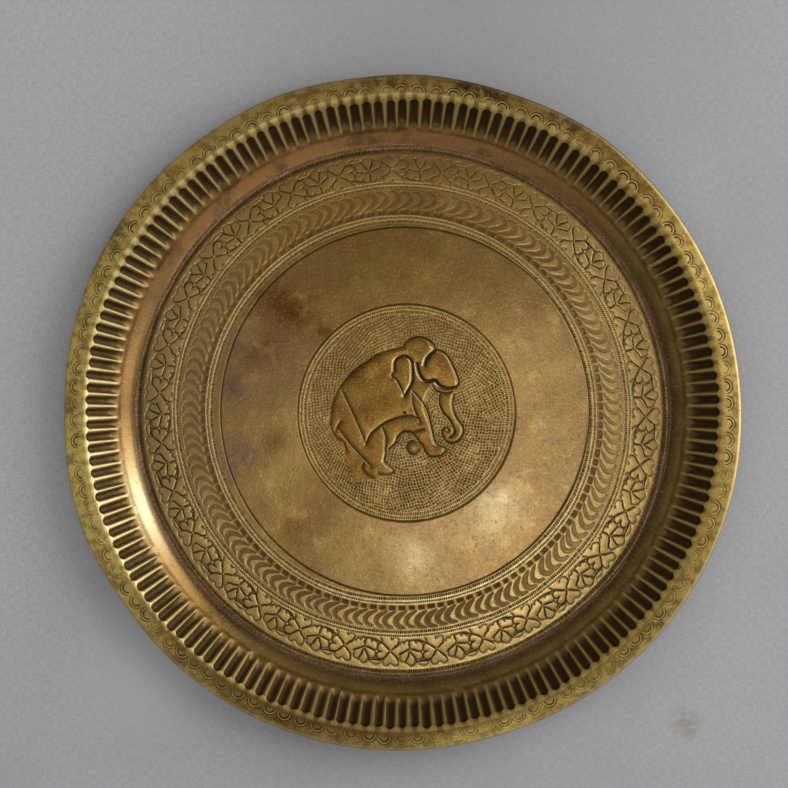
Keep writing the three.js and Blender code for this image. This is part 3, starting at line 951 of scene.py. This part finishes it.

# %% Single places round the plate
# Each has its direction and half width in degrees, and its strength.
# Painted highlights on the lip at single places.
LIP_SPOTS = [(20, 14, 0.1), (46, 10, -0.15), (199, 9, 0.5), (285, 9, 0.6)]
LIP_STAINS = [
    (78, 3.5, 1.0), (73, 3, 0.6), (60, 3, 0.8), (93, 4, 0.5),
    (180, 4, 0.3), (148, 4, 0.5), (247, 8, 0.4), (320, 5, 0.4),
]
LIP_RUST = [(216, 8, 0.5), (233, 10, 0.9), (256, 12, 0.8)]
# Painted highlight and shade on the crest at single places.
CREST_SPOTS = [(192, 12, 0.4), (226, 12, -0.4)]
# A painted highlight of the window in the cove, and painted shade in the cove at single places.
COVE_GLEAM = [(200, 8.5, 0.8)]
COVE_SHADE = [(226, 12, 0.55), (178, 8, 0.6), (95, 18, 0.25)]
BARE_FOOT = [(178, 10, 0.8)]  # where the wall's foot is not lighter than the cove
BROWN_FLOWERS = [(188, 16, 0.6)]
print(len(LIP_STAINS), "stains on the lip")

# %% Stains on the floor
# Each has its x, y and radius in mm, and its strength.
BROWN_STAINS = [
    (-58, 51, 9, 0.7), (-48, 44, 8, 0.8), (-35, 36, 4, 0.8), (-63, 28, 8, 0.6), (-57, -13, 5, 0.5),
    (-50, -51, 8, 0.5), (-12, 19, 6, 0.8), (-21, 17, 5, 0.8), (-16, 0, 5, 0.6), (-6, 5, 4, 0.5),
    (8, 29, 4, 1.0), (18, 20, 3.5, 1.0), (-22, -26, 6, 0.7), (15, -17, 3, 0.7), (24, -10, 3, 0.6),
    (-28, 2, 4, 0.6), (57, -4, 1.6, 0.7),
]
PURPLE_STAINS = [
    (-76, 11, 5, 1.0), (-73, -21, 8, 1.0), (-72, 29, 5, 0.7), (-79, 33, 4, 0.5), (-119, 2, 4, 1.0),
    (-80, -30, 4, 0.5),
]
OLIVE_STAINS = [
    (-13, 63, 8, 0.9), (-5, 73, 4, 1.0), (-4, 60, 4, 0.9), (-31, 72, 7, 0.9), (19, 72, 8, 0.8),
    (-17, 58, 6, 0.8), (39, 63, 7, 0.6), (-24, -73, 6, 0.8), (-9, -74, 6, 0.9), (30, 50, 8, 0.3),
]
# Painted highlights: pale spots where the lamp's reflection lies on the floor.
GLEAMS = [(44, -42, 8, 0.36), (36, -50, 9, 0.12), (5.5, -65, 10, 0.2)]
RAGGED = (17, 13, 10, 8, 6)  # mm, the lengths of the waves in a stain's edge
top = side == TOP


def stained(places):
    """Soft spots with ragged edges."""
    x, y = plan.T
    x = x + 2.5 * waves(x, y, RAGGED, 21)
    y = y + 2.5 * waves(x, y, RAGGED, 22)
    spots = [
        force * np.exp(-((x - px) ** 2 + (y - py) ** 2) / wide**2) for px, py, wide, force in places
    ]
    return np.clip(sum(spots), 0, 1) * top


print(len(BROWN_STAINS) + len(PURPLE_STAINS) + len(OLIVE_STAINS), "stains on the floor")

# %% Faces of the plate
channel = ease(scoop, 0.4, 0.8) * ease(climb, 0.5, 5.5) * top
over_crest = ease(radius, CREST_AXIS - 2.0, CREST_AXIS + 1.5)
on_wall_face = top * ease(climb, -1.5, 5) * (1 - over_crest)
on_cove_face = top * ease(radius, FLOOR_RADIUS, FLOOR_RADIUS + 3.5) * ease(-climb, -6, 0)
on_lip_face = (side != UNDER) * over_crest
chevron_band = top * ease(radius, 83, 85) * ease(-radius, -104, -102)
flower_band = top * ease(radius, 102, 104) * ease(-radius, -118, -116)
rim_edge = np.exp(-(((radius - OUTER_RADIUS + 0.7) / 0.7) ** 2)) * (side != UNDER)
print(f"{np.mean(on_wall_face > 0.5):.0%} of the points are on the inside of the wall")

# %% Ridges and crest
SHINE_RADIUS, SHINE_HALF = 140.6, 3.2  # where hands rub the crest, and where its painted highlight lies
at_crest = np.exp(-(((radius - SHINE_RADIUS) / SHINE_HALF) ** 2)) * top * (1 - channel)
# 0.5 in the middle of a flute, 0 between two
flute_place = np.abs(np.mod(turn / (2 * np.pi) * FLUTES, 1) - 0.5)
# Painted shade on the crest above each flute's head.
over_head = ease(flute_place, 0.1, 0.38) * ease(-radius, -CREST_AXIS - 3.5, -CREST_AXIS - 0.5)
widening = 0.07 * ease(climb, wall_length - 7, wall_length + 1)
# The ridges between the flutes: worn metal with a painted highlight, brighter towards the window.
between_flutes = (1 - ease(scoop, 0.04, 0.55)) * ease(climb, 0, 3) * top
between_flutes *= 1 - 0.9 * ease(flute_place - widening, 0.12, 0.32)
between_flutes *= ease(-climb, -wall_length - 3.0, -wall_length)
print(FLUTES, "ridges to brighten")

# %% How bright or dark each zone is
# Painted light and shade by direction for the floor, crest, lip, cove and channels.
shade_and_tarnish = by_sector(turn, FLOOR_SHADE_AND_TARNISH)
shade_and_tarnish = 0.42 + (shade_and_tarnish - 0.42) * ease(radius, 15, 70)
crest_light = np.clip(by_sector(turn, CREST_BRIGHT) + round_about(turn, CREST_SPOTS), 0, 1)
lip_light = np.clip(by_sector(turn, LIP_BRIGHT) + round_about(turn, LIP_SPOTS), 0, 1)
cove_shade = np.clip(by_sector(turn, DARK_COVE) + round_about(turn, COVE_SHADE), 0, 1)
foot_grime_and_shade = by_sector(turn, FOOT_GRIME_AND_SHADE)
grimed_and_shaded = foot_grime_and_shade + (1 - foot_grime_and_shade) * ease(climb, 2, 12)
print(f"tarnish from {shade_and_tarnish.min():.2f} to {shade_and_tarnish.max():.2f}")

# %% Masks for the finish
# Some of these paint light and shade as well as wear and dirt: the floor's shade, gleams, glints,
# ridges, crest, channels, cove, rim line and lip.
MASKS = {
    "dirt": dirt,
    "rubbed": rubbed,
    "shade_and_tarnish": shade_and_tarnish * top,
    "brown": stained(BROWN_STAINS),
    "purple": stained(PURPLE_STAINS),
    "olive": stained(OLIVE_STAINS),
    "gleam": stained(GLEAMS),
    "glint_edge": glint_edge,
    "glint_line": glint_line,
    "body": body,
    "wall": on_wall_face,
    "channel": channel,
    "grime_and_shade": channel * by_sector(turn, CHANNEL_DARK) * grimed_and_shaded,
    "ridge": between_flutes * by_sector(turn, RIDGE_BRIGHT),
    "crest": at_crest * np.maximum(0.45, collar) * (1 - 0.4 * over_head) * crest_light,
    "dark_crest": np.maximum(at_crest * by_sector(turn, DARK_CREST), 0.2 * at_crest * over_head),
    "cove": on_cove_face,
    "dark_cove": on_cove_face * cove_shade,
    "cove_gleam": on_cove_face * round_about(turn, COVE_GLEAM),
    "red_cove": on_cove_face * by_sector(turn, RED_COVE),
    "wall_foot": top * ease(climb, -7, -1) * (1 - round_about(turn, BARE_FOOT)),
    "border_edge": top * np.exp(-(((radius - 118.0) / 2.3) ** 4)),
    "lip": on_lip_face,
    "rim_line": rim_edge * by_sector(turn, RIM_LINE),
    "lip_stain": on_lip_face * np.clip(round_about(turn, LIP_STAINS), 0, 1) * ease(radius, 142, 146),
    "lip_rust": on_lip_face * round_about(turn, LIP_RUST),
    "brown_border": chevron_band * by_sector(turn, BORDER_BROWN),
    "brown_flowers": flower_band * round_about(turn, BROWN_FLOWERS),
    "bright_lip": on_lip_face * lip_light,
}
for name, values in MASKS.items():
    keep_mask(sheet_mesh, name, values)
print(len(MASKS), "masks")

# %% [markdown]
# ## A map for the finish
# The top and the underside each unroll to a disc, by the way along the section, so no face is thin on
# the map. The top has the larger disc, because the marks are there.

# %% The map
split = int(np.argmax(ring_side == ROLL)) + 6  # the ring at the outside of the roll
whole_way = ring_way[-1]
TOP_DISC = (0.41, 0.41, 0.405)  # centre and radius on the map
UNDER_DISC = (0.825, 0.825, 0.17)
corner = faces.ravel()
corner_top = np.repeat(face_ring < split, 3)
from_under = (whole_way - way[corner]) / (whole_way - ring_way[split])
share = np.where(corner_top, way[corner] / ring_way[split], from_under)
disc = np.where(corner_top[:, None], TOP_DISC, UNDER_DISC)
mirror = np.where(corner_top, 1, -1)
outward = np.stack([mirror * np.cos(turn[corner]), np.sin(turn[corner])], 1)
uv = disc[:, :2] + disc[:, 2:] * share[:, None] * outward
sheet_mesh.uv_layers.new(name="OFBake").data.foreach_set("uv", uv.astype(np.float32).ravel())
print("map spans", uv.min(0).round(3), uv.max(0).round(3))

# %% The sheet in place of its solid
def add_object(name, data):
    thing = bpy.data.objects.new(name, data)
    bpy.context.scene.collection.objects.link(thing)
    return thing


sheet = add_object("fluted_sheet", sheet_mesh)
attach(sheet, "root")
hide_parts("fluted_dish")
print(len(sheet_mesh.polygons), "triangles in the sheet")

# %% [markdown]
# ## Finishes
# Shader nodes are easier to read as sums. The class below wraps a socket, so that `1 - dirt * 0.5`
# adds the Math nodes it needs, and one method makes any other node.

# %% Sockets as values
class Socket:
    """An output of a shader node, to reckon with as with a number."""

    def __init__(self, tree, socket):
        self.tree, self.socket = tree, socket

    def node(self, kind, settings, inputs, output=0):
        made = self.tree.nodes.new(kind)
        for name, value in settings.items():
            setattr(made, name, value)
        for name, value in inputs.items():
            if isinstance(value, Socket):
                self.tree.links.new(value.socket, made.inputs[name])
            else:
                made.inputs[name].default_value = value
        return Socket(self.tree, made.outputs[output])

    def math(self, operation, a, b):
        return self.node("ShaderNodeMath", {"operation": operation}, {0: a, 1: b})

    def __add__(self, other):
        return self.math("ADD", self, other)

    def __sub__(self, other):
        return self.math("SUBTRACT", self, other)

    def __rsub__(self, other):
        return self.math("SUBTRACT", other, self)

    def __mul__(self, other):
        return self.math("MULTIPLY", self, other)

    __radd__, __rmul__ = __add__, __mul__

    def between(self, start, end):
        """0 up to start, 1 from end on, and smooth between them."""
        names = {"Value": self, "From Min": start, "From Max": end}
        return self.node("ShaderNodeMapRange", {"interpolation_type": "SMOOTHSTEP"}, names)

    def mix(self, colour_a, colour_b):
        """colour_a where this is 0, colour_b where it is 1."""
        inputs = {0: self, 6: colour_a, 7: colour_b}
        return self.node("ShaderNodeMix", {"data_type": "RGBA"}, inputs, 2)

    def noise(self, scale, detail=4.0, roughness=0.55):
        """Noise on a place. The scale is in repeats per metre."""
        names = {"Vector": self, "Scale": scale, "Detail": detail, "Roughness": roughness}
        return self.node("ShaderNodeTexNoise", {}, names)


print("sockets add, subtract and multiply like numbers")

# %% Colours and new materials
def colour(red, green, blue):
    """A colour as a screen shows it, from 0 to 255, made linear."""
    share = [c / 255 for c in (red, green, blue)]
    return (*[c / 12.92 if c <= 0.04045 else ((c + 0.055) / 1.055) ** 2.4 for c in share], 1.0)


def new_finish(name):
    """An empty material: its shader, and a socket with the place on the object."""
    material = bpy.data.materials.new(name)
    material.use_nodes = True
    tree = material.node_tree
    place = tree.nodes.new("ShaderNodeTexCoord").outputs["Object"]
    return material, tree.nodes["Principled BSDF"], Socket(tree, place)


def feed(shader, name, value):
    value.tree.links.new(value.socket, shader.inputs[name])


print("middle grey is", round(colour(128, 128, 128)[0], 3), "in linear light")

# %% [markdown]
# ## Aged brass
# Old brass is yellow where hands and cloths rub it, brown where they do not, and nearly black where
# polish has dried in the marks. The masks on the mesh say where the marks are, and noise at several
# scales spreads the brown over the rest.
# Some masks also paint light and shade: brighter where a face turns towards the window or the lamp,
# darker where it turns away.

# %% Colours of the brass
GOLD = colour(124, 95, 40)
PALE = colour(188, 160, 92)
CREAM = colour(228, 209, 142)
STRAW = colour(230, 204, 130)
IVORY = colour(236, 222, 168)
YELLOW = colour(198, 173, 98)
COVE = colour(156, 123, 77)
COPPER = colour(182, 124, 78)
BROWN = colour(86, 60, 24)
RED = colour(108, 70, 32)
PURPLE = colour(84, 59, 45)
PLUM = colour(124, 100, 78)
STAIN = colour(76, 42, 18)
DEEP = colour(50, 34, 19)
OLIVE = colour(100, 82, 36)
UMBER = colour(116, 90, 44)
SILVER = colour(214, 196, 150)
GRIME_AND_SHADE = colour(46, 32, 17)
DIRT = colour(30, 21, 9)
MOSS = colour(46, 38, 12)
print("rubbed brass is", [round(share, 2) for share in PALE[:3]])

# %% Where each colour shows
brass, shader, place = new_finish("aged_brass")
sheet_mesh.materials.append(brass)
on = {name: place.node("ShaderNodeAttribute", {"attribute_name": name}, {}, 2) for name in MASKS}


def spread(place, move, stretch):
    """The place moved and stretched, so that noise on it differs or runs in streaks."""
    moved = place.node("ShaderNodeVectorMath", {"operation": "ADD"}, {0: place, 1: move})
    return moved.node("ShaderNodeVectorMath", {"operation": "MULTIPLY"}, {0: moved, 1: stretch})


clouds = place.noise(16, 6.0, 0.6)
stains = spread(place, (0.37, 0.11, 0.53), (1, 1, 1)).noise(34, 6.0, 0.65)
patches = place.noise(80, 6.0, 0.68)
mottle = spread(place, (0.2, 0.7, 0.1), (1, 1, 1)).noise(240, 4.0, 0.65)
specks = place.noise(520, 3.0, 0.7)
grain = spread(place, (0.6, 0.4, 0.2), (1, 1, 1)).noise(1000, 2.0, 0.7)
crosswise = spread(place, (0.1, 0.3, 0.0), (60, 1400, 60)).noise(1, 2.0)
lengthwise = spread(place, (0.5, 0.2, 0.0), (1400, 60, 60)).noise(1, 2.0)
streaks = 0.5 * crosswise + 0.5 * lengthwise
filled = on["dirt"].between(0.12, 0.8)
print(len(on), "masks to colour by")

# %% Colours of the floor
def lay_over(base, layers):
    """Each layer is where it shows, from 0 to 1, and its colour. Later ones cover earlier ones."""
    for share, shade in layers:
        base = share.mix(base, shade)
    return base


# The floor's brown is partly painted shade, darker on the side away from the window.
base = (on["shade_and_tarnish"] + 0.5 * clouds.between(0.35, 0.7) - 0.2).mix(GOLD, BROWN)
floor_layers = [
    (stains.between(0.52, 0.68) * 0.55, RED),
    (stains.between(0.44, 0.32) * 0.35, OLIVE),
    (patches.between(0.5, 0.68) * 0.4, BROWN),
    (patches.between(0.46, 0.3) * 0.2, PALE),
    (streaks.between(0.5, 0.65) * 0.04, PALE),
    (on["body"] * 0.4, BROWN),
    (on["brown"] * patches.between(0.4, 0.52) * 0.9, STAIN),
    (on["purple"] * patches.between(0.25, 0.5), PURPLE),
    (on["olive"] * patches.between(0.65, 0.4) * 0.8, OLIVE),
    (on["brown_border"] + on["brown_flowers"], BROWN),
    (on["rubbed"] * (0.68 - 0.4 * on["shade_and_tarnish"]), PALE),
    # Painted highlights: the lamp's reflection on the floor.
    (on["gleam"] * (0.6 + 0.4 * patches.between(0.6, 0.42)), SILVER),
    # Painted highlights on the elephant's edges that face the window.
    (on["glint_edge"], CREAM),
]
base = lay_over(base, floor_layers)
print(len(floor_layers), "layers of colour on the floor")

# %% Colours of the cove and the wall
cove_copper = patches.between(0.46, 0.64).mix(COPPER, PURPLE)
cove_dark = (on["wall_foot"] * (0.4 + 0.6 * patches.between(0.3, 0.6))).mix(DEEP, UMBER)
side_layers = [
    (on["cove"] * 0.85, COVE),
    (on["red_cove"], cove_copper),
    # Painted highlight: the window's reflection in the cove.
    (on["cove_gleam"], SILVER),
    # Painted shade in the cove away from the window, with its darker patina.
    (on["dark_cove"] * 0.95, cove_dark),
    (on["border_edge"] * 0.88, patches.between(0.35, 0.65).mix(DEEP, PURPLE)),
    (on["wall"] * 0.85, patches.between(0.4, 0.65).mix(UMBER, BROWN)),
]
base = lay_over(base, side_layers)
print(len(side_layers), "layers of colour on the cove and the wall")

# %% Colours of the lip and the ridges
rim_layers = [
    (on["lip"] * 0.85, mottle.between(0.35, 0.65).mix(UMBER, BROWN)),
    # Painted light on the lip, brighter towards the window.
    (on["bright_lip"] * (0.45 + 0.55 * mottle.between(0.62, 0.42)), YELLOW),
    (on["lip_rust"] * patches.between(0.46, 0.58) * 0.75, RED),
    (on["lip_stain"] * mottle.between(0.35, 0.55), DEEP),
    # Painted shade on the crest.
    (on["dark_crest"] * 0.8, BROWN),
    # Painted highlight on the crest, over its worn metal.
    (on["crest"] * (0.3 + 0.65 * mottle.between(0.62, 0.42)), STRAW),
    # Painted highlight on the ridges, over their worn metal.
    (on["ridge"] * 0.9, on["ridge"].between(0.7, 0.9).mix(STRAW, IVORY)),
    # Painted highlight along the rolled edge.
    (on["rim_line"], CREAM),
    # Painted highlights beside ticks, flower lines and in the crescents.
    (on["glint_line"] * (0.75 - 0.72 * on["border_edge"]), CREAM),
]
base = lay_over(base, rim_layers)
print(len(rim_layers), "layers of colour on the lip and the ridges")

# %% Specks, soot and dirt
dirt_layers = [
    (specks.between(0.56, 0.76) * 0.45, BROWN),
    (grain.between(0.52, 0.72) * 0.22, DIRT),
    (grain.between(0.46, 0.28) * 0.2, PALE),
    (on["channel"] * 0.85, mottle.between(0.4, 0.6).mix(PLUM, OLIVE)),
    # Grime in the channels, with painted shade on the side away from the window.
    (on["grime_and_shade"] * 0.92, GRIME_AND_SHADE),
    (filled * 0.92, mottle.between(0.45, 0.6).mix(DIRT, MOSS)),
]
feed(shader, "Base Color", lay_over(base, dirt_layers))
print(len(dirt_layers), "layers of dirt")

# %% Shine, coat and hammer marks
worn = 0.08 * on["shade_and_tarnish"] + 0.1 * specks.between(0.5, 0.8) + 0.02 * streaks.between(0.45, 0.6)
feed(shader, "Roughness", 0.23 + worn + 0.25 * filled + 0.15 * on["wall"] + 0.2 * on["lip"])
feed(shader, "Metallic", 0.97 - 0.15 * filled - 0.1 * on["grime_and_shade"])
shader.inputs["Coat Roughness"].default_value = 0.22
unpolished = filled + on["lip"] + on["wall"] + on["border_edge"]
unpolished = unpolished + on["cove"] + on["brown"] + on["body"]
dull = on["shade_and_tarnish"] + 0.5 * unpolished
feed(shader, "Coat Weight", 0.8 - 1.1 * dull)
hammered = place.noise(150, 2.0) * 0.35 + place.noise(900, 2.0) * 0.2 + streaks * 0.02
settings = {"Strength": 0.25, "Distance": 0.0006, "Height": hammered}
feed(shader, "Normal", hammered.node("ShaderNodeBump", {}, settings))
print(len(brass.node_tree.nodes), "nodes in the brass")

# %% [markdown]
# ## The wire
# The edge is rolled round an iron wire. It is drawn round here, and follows the swells of the rim, so
# that it stays inside the roll. Its two ends are butted under the nick.

# %% The wire's shape
WIRE_RADIUS = 0.8
WIRE_JOINT = math.radians(162)  # where its ends meet
WIRE_GAP = 0.5  # mm between them
WIRE_STEPS, WIRE_SIDES = 480, 12  # points along it and round it
half_gap = WIRE_GAP / 2 / roll_centre[0]
wire_turn = WIRE_JOINT + np.linspace(half_gap, 2 * np.pi - half_gap, WIRE_STEPS)
around = np.arange(WIRE_SIDES) * 2 * np.pi / WIRE_SIDES
wire_axis = roll_centre[0] - RIM_IN - rim_swell(wire_turn)
out = wire_axis[:, None] + WIRE_RADIUS * np.cos(around)
up = (roll_centre[1] - rim_droop(wire_turn))[:, None] + WIRE_RADIUS * np.sin(around)
wire_points = np.stack([out * np.cos(wire_turn)[:, None], out * np.sin(wire_turn)[:, None], up], 2)
print(f"the wire's middle is {wire_axis.min():.2f} to {wire_axis.max():.2f} mm from the axis")

# %% The wire's faces, with a cap on each end
step = np.arange(WIRE_STEPS - 1)[:, None] * WIRE_SIDES
here, beside = step + np.arange(WIRE_SIDES), step + np.roll(np.arange(WIRE_SIDES), -1)
here_ahead, beside_ahead = here + WIRE_SIDES, beside + WIRE_SIDES
halves = np.stack([beside_ahead, beside, here], 2), np.stack([here_ahead, beside_ahead, here], 2)
second = np.arange(1, WIRE_SIDES - 1)
fan = np.stack([np.zeros_like(second), second, second + 1], 1)
last = (WIRE_STEPS - 1) * WIRE_SIDES
caps = fan, last + fan[:, ::-1]
wire_faces = np.vstack([*(half.reshape(-1, 3) for half in halves), *caps])
wire_mesh = mesh_from("edge_wire", wire_points.reshape(-1, 3) * MM, wire_faces.astype(np.int32))
wire = add_object("edge_wire", wire_mesh)
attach(wire, "root")
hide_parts("rim_wire")
print(len(wire_faces), "triangles in the wire")

# %% The wire's finish
iron, shader, place = new_finish("drawn_iron")
wire_mesh.materials.append(iron)
rust = place.noise(180, 4.0).between(0.45, 0.65)
feed(shader, "Base Color", rust.mix(colour(84, 78, 72), colour(92, 60, 40)))
feed(shader, "Roughness", 0.5 + 0.35 * rust)
feed(shader, "Metallic", 0.9 - 0.6 * rust)
print(len(iron.node_tree.nodes), "nodes in the iron")

# %% [markdown]
# ## The photograph's set
# The plate lies on pale grey cloth and is seen from straight above. Daylight comes from the right, so
# the left wall catches it and the plate's shadow falls to the left.

# %% Cloth
CLOTH_HALF = 1.5  # metres from its middle to its edge
corners = np.array([(-1, -1), (1, -1), (1, 1), (-1, 1)]) * CLOTH_HALF
cloth_mesh = bpy.data.meshes.new("cloth")
cloth_mesh.from_pydata([(x, y, 0.0) for x, y in corners], [], [(0, 1, 2, 3)])
cloth = add_object("cloth", cloth_mesh)
print("cloth", 2 * CLOTH_HALF, "m wide")

# %% The cloth's weave and tones
grey, shader, place = new_finish("grey_cloth")
cloth_mesh.materials.append(grey)
tone = place.noise(9, 3.0).between(0.3, 0.7)
weave = tone.mix(colour(165, 165, 169), colour(174, 174, 178))


def near(middle, reach):
    """1 at a point of the cloth, 0 from a distance in metres on."""
    ends = {0: place, 1: (*middle, 0.0)}
    away = place.node("ShaderNodeVectorMath", {"operation": "DISTANCE"}, ends, 1)
    return away.between(reach, 0.0)


weft = spread(place, (0.2, 0.1, 0.0), (350, 1500, 1)).noise(1, 2.0)
warp = spread(place, (0.4, 0.3, 0.0), (1500, 350, 1)).noise(1, 2.0)
fleck = near((0.1273, -0.1396), 0.011) * place.noise(260, 3.0).between(0.3, 0.6)
cloth_layers = [
    # Painted light: lighter at the upper left and over the plate's shadow on the left and lower left,
    # and a darker patch over the top.
    (near((-0.22, 0.24), 0.32), colour(178, 178, 180)),
    (near((-0.19, -0.02), 0.16) * 0.9, colour(182, 182, 185)),
    (near((0.02, 0.18), 0.15) * 0.6, colour(144, 143, 145)),
    ((weft + warp).between(0.8, 1.2) * 0.34, colour(136, 137, 141)),
    (near((-0.112, -0.112), 0.05) * 0.8, colour(182, 182, 186)),
    (fleck * 0.7, colour(136, 130, 116)),  # a faint mark in the cloth
]
feed(shader, "Base Color", lay_over(weave, cloth_layers))
shader.inputs["Roughness"].default_value = 0.95
shader.inputs["Specular IOR Level"].default_value = 0.1
print(len(grey.node_tree.nodes), "nodes in the cloth")

# %% Light of the room
world = bpy.data.worlds.new("room")
bpy.context.scene.world = world
world.use_nodes = True
background = world.node_tree.nodes["Background"]
background.inputs["Color"].default_value = (1.0, 0.99, 0.97, 1.0)
background.inputs["Strength"].default_value = 0.55
print("light from all sides:", round(background.inputs["Strength"].default_value, 2))

# %% Window and lamp
def area_light(name, place, aim, size, glow):
    """A rectangle of light, wide and tall in metres. A glow of 1 is as bright as a lit white card."""
    lamp = bpy.data.lights.new(name, "AREA")
    lamp.shape, lamp.size, lamp.size_y = "RECTANGLE", *size
    lamp.energy = glow * math.pi * size[0] * size[1]
    light = add_object(name, lamp)
    light.location = place
    to = np.array(aim) - np.array(place)
    level = math.hypot(to[0], to[1])
    light.rotation_euler = (math.atan2(level, -to[2]), 0, math.atan2(to[1], to[0]) - math.pi / 2)
    return light


WINDOW_AWAY, WINDOW_UP = 1.05, 0.95  # metres from the plate's axis, and above the table
WINDOW_SIZE, WINDOW_GLOW = (1.2, 1.9), 2.3
LAMP_PLACE, LAMP_SIZE, LAMP_GLOW = (0.12, -0.14, 1.6), (0.3, 0.3), 6.0
window_place = (WINDOW_AWAY * math.cos(WINDOW_WAY), WINDOW_AWAY * math.sin(WINDOW_WAY), WINDOW_UP)
window = area_light("window", window_place, (0, 0, WINDOW_UP), WINDOW_SIZE, WINDOW_GLOW)
lamp = area_light("lamp", LAMP_PLACE, (0, 0, 0), LAMP_SIZE, LAMP_GLOW)
for light in (window, lamp):
    print(light.name, round(light.data.energy, 1), "watts")

# %% Camera
PIXEL = 0.4389  # mm on the plate's rim for each of the photograph's pixels
IMAGE = 788  # pixels across
CAMERA_UP = 1000.0  # mm above the rim
AIM = (-3.64, 8.03)  # mm, the point of the plate in the middle of the photograph
camera_data = bpy.data.cameras.new("camera")
camera_data.sensor_width = 36.0  # mm
camera_data.lens = camera_data.sensor_width * CAMERA_UP / (PIXEL * IMAGE)
camera = add_object("camera", camera_data)
camera.location = (AIM[0] * MM, AIM[1] * MM, (CAMERA_UP + CREST_TOP) * MM)
bpy.context.scene.camera = camera
bpy.context.scene.view_settings.view_transform = "Standard"
print(f"lens {camera_data.lens:.1f} mm")
